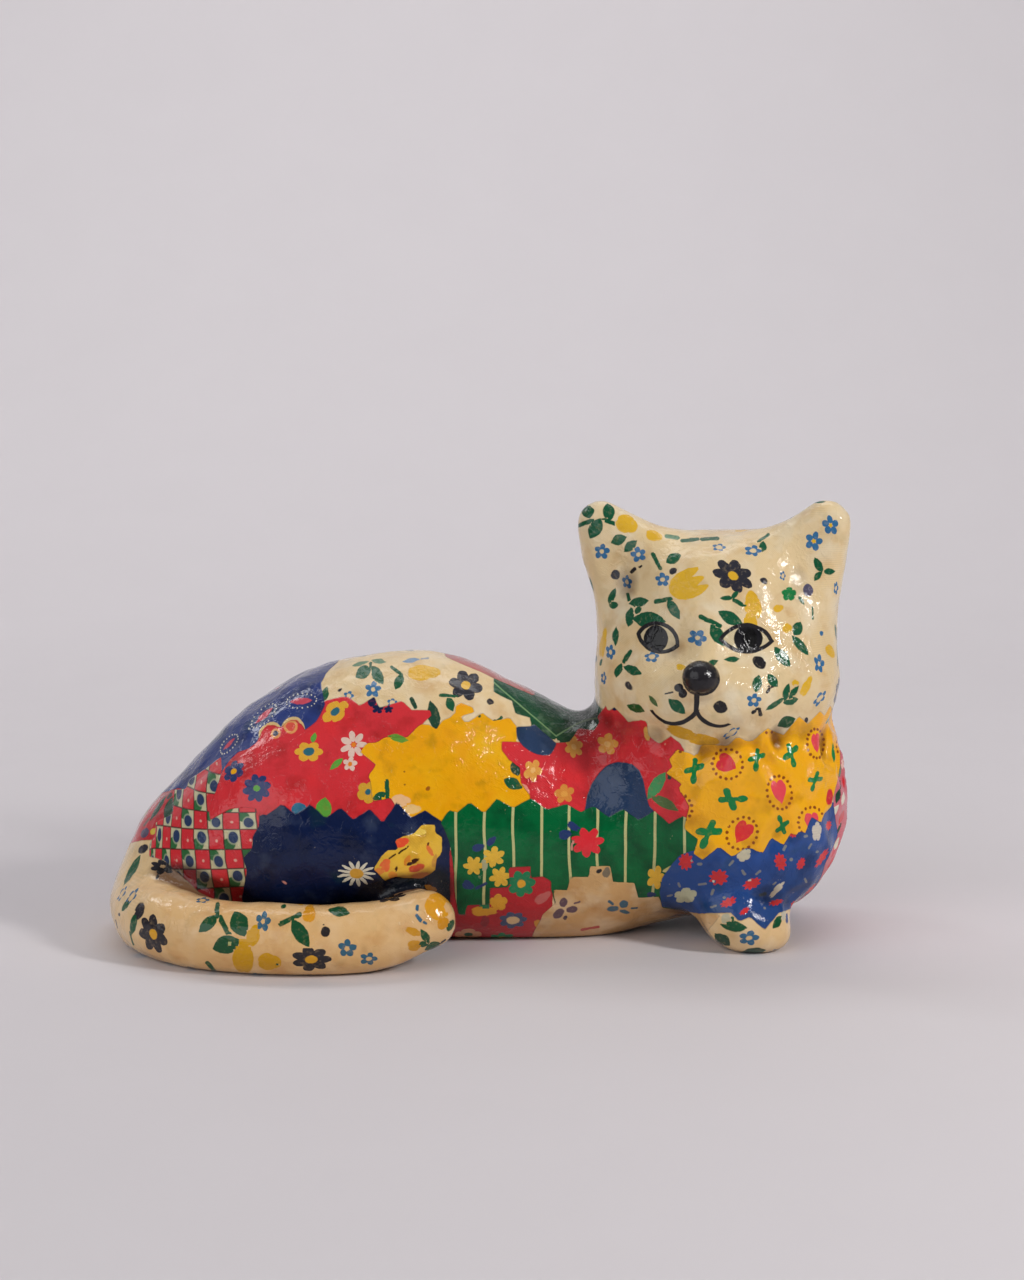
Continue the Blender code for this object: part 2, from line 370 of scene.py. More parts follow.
def head_depth(points):
    """How far points lie inside the head's edge, in mm, below zero outside it."""
    own = in_head(points)
    depth = own[:, 2] - CHEEK_HEIGHT
    for centre, radii in HEAD_BALLS:
        share = np.linalg.norm((own - np.array(centre)) / np.array(radii), axis=1)
        depth = np.maximum(depth, (1.0 - share) * min(radii))
    return depth / MM + HEAD_EDGE_MM


def smooth_route(route):
    """Places along a smooth curve through a route's places."""
    rows = np.array(route)
    rows = np.vstack((2 * rows[0] - rows[1], rows, 2 * rows[-1] - rows[-2]))
    made = []
    for a, b, c, d in zip(rows, rows[1:], rows[2:], rows[3:]):
        for t in np.arange(ROUTE_STEPS) / ROUTE_STEPS:
            bend = (2 * a - 5 * b + 4 * c - d) * t**2 + (3 * b - 3 * c + d - a) * t**3
            made.append(0.5 * (2 * b + (c - a) * t + bend))
    made.append(rows[-2])
    return made


def tail_depth(points):
    """How far points lie inside the tail's edge, in mm, below zero outside it."""
    route = smooth_route(TAIL_ROUTE)
    depth = np.full(len(points), -np.inf)
    for start, end in zip(route, route[1:]):
        along = end[:3] - start[:3]
        share = np.clip((points - start[:3]) @ along / (along @ along), 0.0, 1.0)
        gap = np.linalg.norm(points - start[:3] - share[:, None] * along, axis=1)
        radius = start[3] + share * (end[3] - start[3])
        depth = np.maximum(depth, radius - gap)
    return depth / MM + TAIL_EDGE_MM


def fine_mesh(cat):
    """A copy of the solid's skin in small even faces."""
    form = bmesh.new()
    form.from_mesh(cat.data)
    bmesh.ops.remove_doubles(form, verts=form.verts, dist=WELD_DISTANCE)
    copy = bpy.data.meshes.new("rough_skin")
    form.to_mesh(copy)
    form.free()
    rough = bpy.data.objects.new("rough_skin", copy)
    bpy.context.scene.collection.objects.link(rough)
    rounder = rough.modifiers.new("rounder", "SUBSURF")
    rounder.levels = 1
    remesh = rough.modifiers.new("even", "REMESH")
    remesh.mode = "VOXEL"
    remesh.voxel_size = SKIN_VOXEL
    mesh = bpy.data.meshes.new_from_object(rough.evaluated_get(bpy.context.evaluated_depsgraph_get()))
    bpy.data.objects.remove(rough)
    return mesh


def round_nose(skin):
    """Gives the nose back the crisp ball that smoothing has worn down."""
    own = in_head(skin.points)
    share = nose_share(own)
    ahead = own[:, 1] < NOSE_CENTRE[1] - MM
    near = (share < 1.0) | (ahead & (share < NOSE_PULL_REACH))
    stretch = 1.0 / np.maximum(share[near], 1e-3) - 1.0
    push = (own[near] - NOSE_CENTRE) * stretch[:, None] * NOSE_ROUNDING
    skin.points[near] += push @ np.array(head_axes())[:3, :3].T


def lumpy(place, size, seed):
    return noise.noise(Vector(place) / size + Vector((seed, 0.0, -seed)))


def chest_share(points):
    """How strong the chest's folds are at each point: 0 off the chest, 1 in its middle."""
    past_belly = fade(points[:, 0], CHEST_START, CHEST_START_FADE)
    below_head = fade(points[:, 2], CHEST_TOP, -CHEST_TOP_FADE)
    above_paws = fade(points[:, 2], CHEST_FOOT, CHEST_FOOT_FADE, CHEST_FOOT_LEAST)
    return past_belly * below_head * above_paws


def add_lumps(skin):
    """The uneven surface of pulp and of paper laid on it by hand, with more folds on the chest."""
    normal = skin.normals()
    chest = chest_share(skin.points)
    height = np.empty(len(skin.points))
    for index, place in enumerate(skin.points):
        lump = LUMP_HEIGHT_MM * lumpy(place, LUMP_SIZE, LUMP_SEED)
        ripple = RIPPLE_HEIGHT_MM * lumpy(place, RIPPLE_SIZE, RIPPLE_SEED)
        fold = 1.0 - 2.0 * abs(lumpy(place * FOLD_STRETCH, FOLD_SIZE, FOLD_SEED))
        height[index] = lump + ripple + FOLD_HEIGHT_MM * chest[index] * (fold - FOLD_LEVEL)
    from_nose = (nose_share(in_head(skin.points)) - 1.0) * NOSE_RADII[0]
    calm = fade(from_nose, 0.0, CALM_REACH) * fade(skin.points[:, 2], 0.0, CALM_REACH)
    skin.points += normal * (height * calm * MM)[:, None]


def store_hollows(skin):
    """Crease depth in mm, more beside the tail and underneath: where dirt and painted shade darken the skin.
    """
    smoothed = skin.points
    for _ in range(HOLLOW_PASSES):
        smoothed = skin.average(smoothed)
    hollow = ((smoothed - skin.points) * skin.smooth_normal).sum(axis=1) / MM
    # Faces turned down near the floor and the body beside the tail get more: painted shade and dirt
    under = fade(-skin.smooth_normal[:, 2], UNDER_SLOPE, 1.0)
    under *= fade(skin.points[:, 2], UNDER_TOP, -UNDER_FADE)
    beside_tail = np.clip(1.0 + skin.tail_depth / CREASE_REACH_MM, 0.0, 1.0)
    beside_tail *= skin.tail_depth < CREASE_DEPTH_MM
    beside_tail *= fade(skin.points[:, 0], CREASE_START, CREASE_FADE)
    new_layer(skin.mesh, "hollow", "POINT", hollow + (UNDER_SHADE_AND_DIRT * under + CREASE_SHADE_AND_DIRT * beside_tail))


def make_skin(cat):
    skin = Skin(fine_mesh(cat))
    skin.relax(SKIN_RELAX_PASSES)
    round_nose(skin)
    skin.store()
    add_lumps(skin)
    skin.relax(1)
    skin.survey()
    store_hollows(skin)
    return skin


# What a print looks like: its shape, how many lobes or dots it has, how deep the lobes are or how big the
# dots, half its length and half its width in mm, the middle, and its two colours. The middle is the size in
# mm of a spot in the second colour, or, below nought, how far outside the print a ring of dots runs.
Print = namedtuple("Print", "shape lobes depth long wide middle ink core")
PETALS, BLOT, STAR, LEAF, HEART, TULIP, BAR, SPRIG = range(1, 9)
PRINT_MM_PER_PIXEL = 0.39


def printed(shape, long, wide, ink, lobes=0, depth=0.0, middle=0.0, core=CREAM):
    """A print with its sizes given in the photograph's pixels."""
    scale = PRINT_MM_PER_PIXEL
    return Print(shape, lobes, depth, long * scale, wide * scale, middle * scale, ink, core)


def leaf(long, wide, ink=LEAF_GREEN):
    return printed(LEAF, long, wide, ink)


def stroke(long, wide, ink=LEAF_GREEN):
    return printed(BAR, long, wide, ink)


def oval(long, wide, ink=DARK_FLOWER):
    return printed(BLOT, long, wide, ink)


def dab(long, wide, ink=TULIP_YELLOW):
    """A ragged blot."""
    return printed(BLOT, long, wide, ink, 3, 0.20)


def flower(long, wide, ink, core, middle, lobes=5, fullness=1.25):
    """A flower whose oval petals touch at a fullness of 1 and run together above it."""
    return printed(PETALS, long, wide, ink, lobes, fullness, middle, core)


def posy(long, wide, core=CREAM, ink=FLOWER_BLUE):
    """A small blue flower."""
    return flower(long, wide, ink, core, 2.2, 5, 0.98)


def dark_bloom(long, wide, lobes=7):
    return flower(long, wide, DARK_FLOWER, TULIP_YELLOW, 4.0, lobes, 1.12)


def dark_leaf(long, wide):
    return leaf(long, wide, DARK_LEAF_GREEN)


def tick(long, wide):
    """A small grey stroke."""
    return stroke(long, wide, TICK_GREY)


def tulip(long, wide):
    return printed(TULIP, long, wide, TULIP_YELLOW)


def ringed_heart(long, wide, ink=PINK_RED, gap=6.0):
    return printed(HEART, long, wide, ink, 17, 0.60, -gap, HEART_BROWN)


def ringed_leaf(long, wide):
    return printed(LEAF, long, wide, PAISLEY_RED, 19, 0.27, -4.2, WHITE)


def scallop(size):
    """A round petal with a pale rim."""
    return printed(BLOT, size, size, SCALLOP_CREAM, 0, 0.0, size - 2.8, SCALLOP_RED)


def ringed_spot(size, middle, ink):
    return printed(BLOT, size, size * 0.9, SPOT_PEACH, 0, 0.0, middle, ink)


def green_sprig(size):
    return printed(SPRIG, size * 1.12, size * 1.12, SPRIG_GREEN)


def red_burst(long, wide):
    return printed(STAR, long, wide, BURST_RED, 9, 0.30)


def white_blot(long, wide, ink=WHITE):
    return printed(BLOT, long, wide, ink, 5, 0.30)


def daisy(size):
    return flower(size, size, PINK_WHITE, ORANGE, 2.4, 7, 0.84)


def sunny_star(long, wide, lobes=6):
    """A yellow flower of one colour."""
    return flower(long, wide, SUNNY, SUNNY, 4.0, lobes, 0.96)


def ray_daisy(size):
    return flower(size, size, WHITE, DAISY_GOLD, 6.4, 13, 0.78)


# How a cloth is printed besides its motifs
PLAIN, CHECK, FENCE, MOTTLED, CHEVRON, CLOUDY, WAXY, STAINED = range(8)

# A cloth: its ground, its all-over pattern, and the motifs that fill it where the photograph shows none,
# with the gap between them in mm
Cloth = namedtuple("Cloth", "ground pattern motifs gap")

CREAM_MOTIFS = (
    posy(9, 9), leaf(12, 5.5), dark_bloom(18, 16), stroke(10, 2), dab(15, 8), leaf(9, 4.5), oval(5, 4.4),
    posy(8, 8), tulip(14, 18), leaf(14, 7), dab(9, 6), leaf(8, 4),
)
RED_FLORAL_MOTIFS = (
    flower(12, 12, NAVY_FLOWER, GOLDEN, 3), flower(13, 10, GOLD_PETALS, TEAL, 4), daisy(15), white_blot(6, 6),
    flower(14, 13, NAVY_FLOWER, FRESH_GREEN, 3.2, 8, 1.2), leaf(7, 2.6, FRESH_GREEN),
)
LOWER_RED_MOTIFS = (
    flower(14, 14, FLOWER_GREEN, GOLD_PETALS, 4, 7, 1.15), flower(13, 9, GOLD_PETALS, ORANGE, 3),
    flower(14, 10, GREY_BLUE, CREAM, 4, 7, 1.15), white_blot(12, 9, PEACH),
)
DITSY_MOTIFS = (
    red_burst(9, 7), tick(3.2, 1.1), white_blot(9, 7), red_burst(8, 4.5),
    tick(3.2, 1.1),
)
DARK_FLORAL_MOTIFS = (dark_leaf(13, 5), dark_bloom(10, 9), dark_leaf(9, 4))
PINK_MOTIFS = (
    dark_leaf(9, 3), white_blot(8, 5), red_burst(7, 5), stroke(9, 1.4, DITSY_BLUE),
)
CLOTHS = {
    "cream": Cloth(CREAM, WAXY, CREAM_MOTIFS, 11.0),
    "belly": Cloth(WARM_CREAM, WAXY, (flower(12, 12, MAUVE, WARM_CREAM, 2, 3, 1.0),), 24.0),
    "paisley": Cloth(PAISLEY_BLUE, CLOUDY, (ringed_leaf(8.5, 3.4), ringed_leaf(7, 3)), 13.0),
    "red floral": Cloth(RED, MOTTLED, RED_FLORAL_MOTIFS, 17.0),
    "golden": Cloth(GOLDEN, STAINED, (dark_leaf(9, 4),), 26.0),
    "check": Cloth(RED, CHECK, (), 0.0),
    "navy": Cloth(NAVY, CLOUDY, (ray_daisy(19), dab(20, 13, GOLD_PETALS)), 30.0),
    "arch": Cloth(ARCH_BLUE, CLOUDY, (), 0.0),
    "sunny": Cloth(SUNNY, MOTTLED, (), 0.0),
    "fence": Cloth(FENCE_GREEN, FENCE, (flower(16, 15, RED, RED, 5, 7), sunny_star(10, 10)), 20.0),
    "lower red": Cloth(DEEP_RED, PLAIN, LOWER_RED_MOTIFS, 13.0),
    "saddle": Cloth(SADDLE_GREEN, CHEVRON, (), 0.0),
    "orange floral red": Cloth(RED, MOTTLED, (flower(11, 11, PALE_ORANGE, PALE_GOLD, 4),), 15.0),
    "faded red": Cloth(FADED_RED, MOTTLED, (), 0.0),
    "hearts": Cloth(HEARTS_YELLOW, MOTTLED, (ringed_heart(8, 8), green_sprig(15)), 13.5),
    "ditsy": Cloth(DITSY_BLUE, CLOUDY, DITSY_MOTIFS, 8.0),
    "dark floral": Cloth(DEEP_RED, MOTTLED, DARK_FLORAL_MOTIFS, 9.0),
    "pink floral": Cloth(FADED_PINK, PLAIN, PINK_MOTIFS, 7.5),
}


# A cutting line is a list of photograph pixels, each with whether pinking shears cut the stretch from it to
# the next. Its first and last place are joined.
def pinked(*places):
    return [(across, down, True) for across, down in places]


def cut(*places):
    return [(across, down, False) for across, down in places]


# The scraps' cutting lines on the near side
PAISLEY_NEAR = cut(
    (348, 600), (338, 662), (327, 672), (321, 683), (322, 690), (325, 705), (317, 721), (305, 730),
    (301.5, 724), (296, 721), (290, 720.5), (285, 723), (281.5, 727.5), (272, 725.4), (266, 726.8),
    (261.5, 731), (259.5, 737), (256, 743), (248, 749), (238, 752), (230, 760),
    (222, 771), (216, 790), (206, 772), (196, 780), (190, 790), (178, 788), (140, 800), (130, 700),
    (240, 600),
)
RED_HAUNCH_NEAR = cut(
    (232, 705), (318, 703), (340, 697), (348.5, 697), (359.5, 706), (374, 697), (379, 708), (387, 706),
    (402, 701), (411.5, 710), (430.5, 710), (431.5, 715), (424, 722), (408, 745), (400, 800), (440, 840),
    (200, 840), (200, 760),
)
GOLDEN_NEAR = cut(
    (366.5, 743.5), (376.5, 742.3), (385, 737.5), (406.5, 737.5), (420.5, 724.5), (429.5, 725), (436, 730),
    (442.5, 720.5), (450, 717.4), (455.5, 713), (456, 706), (461, 702.7), (472.8, 707.6), (474, 712),
    (461, 716.5), (464, 721.7), (469.5, 721.7), (482.6, 713), (493.4, 721), (502, 719.5), (509.7, 718),
    (516.2, 726), (516.7, 741.2), (530, 745), (534, 768), (538, 791), (545, 840), (402, 840), (396, 806),
    (391, 798), (373, 801), (370.8, 781.3), (368, 776),
    (376.3, 765), (360.5, 752),
)
RED_MIDDLE_NEAR = cut(
    (501.4, 741.6), (502, 750.3), (508.7, 759.6), (520.1, 767.7), (520.8, 782.4), (530.2, 795.8), (530, 840),
    (700, 840), (700, 812), (696, 801), (690, 792), (694, 783), (676, 774), (680, 767), (678, 758),
    (685, 752), (680.2, 743.6), (670.8, 736.2), (660, 743.6), (656, 742.2), (648, 735), (646.7, 722),
    (641.3, 720), (628, 722), (624, 716.8), (614.5, 707.4), (608, 711.4), (605.8, 706), (597, 716.8),
    (599.8, 722), (593.8, 730.2), (578.4, 728.2), (574.4, 735.5), (569, 742.2), (550, 743),
)
ARCH_NEAR = cut(
    (584.4, 812), (587, 797), (591.8, 783.8), (598, 774), (605, 767), (612, 763.3), (618.6, 762.3),
    (626, 762.6), (633, 765), (639, 770.5), (642.8, 779), (645.4, 791.8), (649, 806), (655, 812), (640, 835),
    (590, 835),
)
DOME_NEAR = cut(
    (516.5, 727), (516.7, 733), (518, 739.5), (523, 746), (528.8, 750.3), (536, 754), (543.6, 755.9),
    (550.3, 754.3), (555.6, 746.2), (556.5, 743.5), (545, 733.5), (535, 724.5), (531, 726),
)
SADDLE_NEAR = cut(
    (493, 620), (493.8, 691.7), (505, 698), (512, 700.7), (515.4, 713.4), (530.2, 717.5), (531.5, 726.2),
    (543, 733), (557, 742.9), (569, 742.2), (574.4, 735.5), (578.4, 728.2), (593.8, 730.2), (599.8, 722),
    (597, 716.8), (605.8, 706), (603, 694), (597.5, 690), (597, 620),
)
RIDGE_NEAR = cut(
    (436, 630), (446, 657), (463, 664.5), (480, 671.5), (493, 678), (505, 683), (516, 688), (526, 692),
    (534, 696), (545, 640),
)
CHECK_NEAR = cut(
    (204, 770), (221, 757), (221.7, 770.7), (216, 790), (208.4, 808), (210.5, 820), (223, 813), (230, 809),
    (246, 807.5), (256, 809), (260, 824), (253, 837), (252, 849), (243, 858), (247, 870), (243, 915),
    (207, 899), (197, 890), (187, 880), (176, 871), (165, 861), (149, 856), (150, 842), (155, 838),
    (156, 822), (173, 814), (173, 790), (186, 789), (190, 779),
)
DARK_FLORAL_NEAR = cut(
    (195, 775), (186, 792), (180, 832), (156, 840), (142, 840), (128, 844), (100, 860), (100, 770),
)
NAVY_NEAR = cut(
    (259.6, 813.5), (266, 815.4), (282.1, 804), (296, 815.4), (310.2, 804), (325.6, 818.2), (340.3, 807.7),
    (353.6, 819.6), (369.5, 809), (383, 823), (397, 802.3), (411, 817.5), (425.2, 810.5), (440.6, 821),
    (452, 830), (458, 880), (470, 910), (454, 960), (243, 960), (241, 904), (247, 870), (243, 858),
    (252, 849), (253, 837), (259, 826),
)
SUNNY_NEAR = cut(
    (373.3, 868.7), (384.5, 880.7), (395.7, 876.5), (408, 878), (422.4, 878.6), (435, 870.2), (436.4, 858.9),
    (442, 853.3), (442, 837.9), (435, 832.3), (435, 825.3), (422.4, 824.6), (414, 833.7), (402.8, 836.5),
    (395, 840.7), (398.6, 849.8), (387.3, 850.5), (381.7, 856.1),
)
LOWER_RED_NEAR = cut(
    (450, 850), (450, 955), (482, 945), (529.5, 942), (534.5, 931), (541.1, 919.4), (542.8, 914.4),
    (557, 903), (560, 850),
)
FENCE_NEAR = cut(
    (441, 822), (449, 810.5), (457, 812.5), (469.6, 802.5), (484, 813), (497, 799), (513, 808),
    (530.3, 798.3), (547.6, 809.5), (566, 803.8), (581, 812), (594, 806), (608.5, 817.3), (622.6, 809),
    (638.7, 820.6), (654.7, 811), (668.8, 824), (683, 816), (700, 826), (696, 870), (690, 912), (556, 905),
    (551.1, 889.5), (551.1, 881.2), (542.8, 876.3), (531.2, 877.9), (530.4, 866.3), (508.8, 867.2),
    (509.6, 887), (489.7, 887.9), (489.7, 904.5), (467, 905), (464.5, 916), (458.5, 914), (455, 895),
    (454.3, 875), (452.5, 858), (449, 841), (445, 830),
)
BELLY_NEAR = cut(
    (552.8, 889.5), (567.7, 890.4), (570.2, 877.1), (589.2, 877.1), (590, 866.3), (610, 866.3), (613, 882),
    (634, 883), (638.1, 897.8), (658.9, 897), (662.2, 907.8), (684, 911), (720, 915), (700, 940),
    (529.5, 945), (534.5, 931), (541.1, 919.4), (542.8, 914.4), (556, 903),
)
PINK_EDGE_NEAR = cut(
    (832, 700), (838, 745), (840, 765), (838, 779), (833, 800), (835.5, 818), (838, 835), (832, 850),
    (826, 862), (821, 877), (812, 893), (803, 912), (900, 912), (900, 690),
)
DITSY_NEAR = cut(
    (704, 838), (702, 851), (691, 851), (679.2, 855.7), (673.2, 863), (662.3, 877.5), (659.8, 892),
    (662.3, 906.6),
    (684.1, 910.9), (698.6, 913.3), (731.3, 912.7), (738.6, 921.2), (749.5, 916.9), (764.7, 929.7),
    (778.6, 912.7), (800, 906), (823, 886), (834, 858), (842, 835), (839, 800), (832, 798), (815, 775),
    (706, 800),
)
HEARTS_NEAR = cut(
    (665.9, 772.7), (672.6, 767.3), (669.5, 759.4), (676.8, 749.7), (690, 753.3), (696.2, 757),
    (701.7, 745.4), (713.2, 744.8), (727.7, 746), (737.4, 736.4), (747, 741.2), (752, 741.2), (767.7, 728.5),
    (783.4, 735.1), (799.2, 716.4), (807.7, 724.2), (819.8, 711.5), (824.6, 716), (830, 706), (840, 720),
    (840, 764), (838, 778), (830.7, 807.3), (824.6, 813.3), (821, 822.4), (811.3, 817), (805.3, 832.7),
    (799.2, 830.9), (796.2, 835.1), (790.7, 832.7), (783.4, 844.8), (771.3, 837.6), (762.2, 853.3),
    (751.9, 848.5), (744.7, 848.5), (732.6, 857), (719.2, 846.7), (702.3, 860), (693.8, 853.3), (698, 839.4),
    (684.1, 828.5), (689.5, 806.5), (684.2, 797), (678.8, 789), (681.5, 783.8),
)

# The scraps' cutting lines on the far side, also in the near side's pixels, as if seen through the cat
PAISLEY_FAR = cut((348, 600), (338, 662), (300, 700), (262, 742), (190, 776), (120, 780), (120, 600))
GOLDEN_FAR = cut((345, 650), (480, 660), (474, 770), (402, 792), (318, 770), (300, 700))
RIDGE_FAR = cut((438, 630), (446, 672), (472, 690), (506, 700), (532, 720), (540, 640))
SADDLE_FAR = cut((493, 620), (494, 700), (530, 752), (600, 752), (630, 720), (612, 690), (600, 620))
RED_HAUNCH_FAR = pinked((190, 762), (262, 742), (318, 752), (420, 775)) + cut(
    (440, 860), (210, 860), (170, 800),
)
DITSY_FAR = cut((470, 700), (494, 690), (530, 752), (606, 748), (618, 820), (600, 850), (470, 850))
RED_MIDDLE_FAR = cut((606, 700), (700, 700), (760, 740), (744, 850), (612, 850))
HEARTS_FAR = pinked((430, 815), (620, 800)) + cut((640, 905), (560, 950), (420, 940))
NAVY_FAR = pinked((250, 830), (440, 822)) + cut((446, 960), (240, 960))
DARK_FLORAL_FAR = cut((100, 760), (190, 772), (262, 830), (250, 960), (100, 960))
FENCE_FAR = pinked((600, 838), (760, 832)) + cut((770, 925), (640, 925), (612, 905))
PAISLEY_CHEST_FAR = cut((740, 700), (812, 690), (806, 912), (790, 912), (752, 850))
PINK_EDGE_FAR = cut((800, 690), (900, 690), (900, 912), (796, 912))

# A scrap: its name, its cloth, the angle of its weave, its cutting lines, and whether it keeps off the head
Scrap = namedtuple("Scrap", "name cloth turn near far off_head")

# Scraps from the lowest to the topmost; the head, the tail and the paws show the first
SCRAPS = (
    Scrap("skin", "cream", 0, None, None, False),
    Scrap("golden side", "golden", 20, None, GOLDEN_FAR, True),
    Scrap("saddle", "saddle", 0, SADDLE_NEAR, SADDLE_FAR, True),
    Scrap("ridge", "faded red", 0, RIDGE_NEAR, RIDGE_FAR, True),
    Scrap("rump", "dark floral", 0, DARK_FLORAL_NEAR, DARK_FLORAL_FAR, True),
    Scrap("haunch", "red floral", 0, RED_HAUNCH_NEAR, RED_HAUNCH_FAR, True),
    Scrap("paisley", "paisley", 0, PAISLEY_NEAR, PAISLEY_FAR, True),
    Scrap("golden", "golden", 8, GOLDEN_NEAR, None, True),
    Scrap("red middle", "orange floral red", 0, RED_MIDDLE_NEAR, RED_MIDDLE_FAR, False),
    Scrap("arch", "arch", 0, ARCH_NEAR, None, True),
    Scrap("dome", "arch", 0, DOME_NEAR, None, True),
    Scrap("check", "check", 5.5, CHECK_NEAR, None, True),
    Scrap("navy", "navy", 0, NAVY_NEAR, NAVY_FAR, True),
    Scrap("sunny", "sunny", 0, SUNNY_NEAR, None, True),
    Scrap("lower red", "lower red", 0, LOWER_RED_NEAR, None, True),
    Scrap("ditsy side", "ditsy", 10, None, DITSY_FAR, True),
    Scrap("hearts side", "hearts", 15, None, HEARTS_FAR, True),
    Scrap("fence", "fence", 0, FENCE_NEAR, FENCE_FAR, True),
    Scrap("belly side", "belly", 0, BELLY_NEAR, None, True),
    Scrap("paisley chest", "paisley", 30, None, PAISLEY_CHEST_FAR, True),
    Scrap("ditsy", "ditsy", 0, DITSY_NEAR, None, False),
    Scrap("pink edge", "pink floral", 0, PINK_EDGE_NEAR, PINK_EDGE_FAR, True),
    Scrap("hearts", "hearts", 0, HEARTS_NEAR, None, False),
    Scrap("underside", "belly", 0, None, None, False),
)
UNDERSIDE_SLOPE = 0.975
UNDERSIDE_SPREAD_MM = 40.0

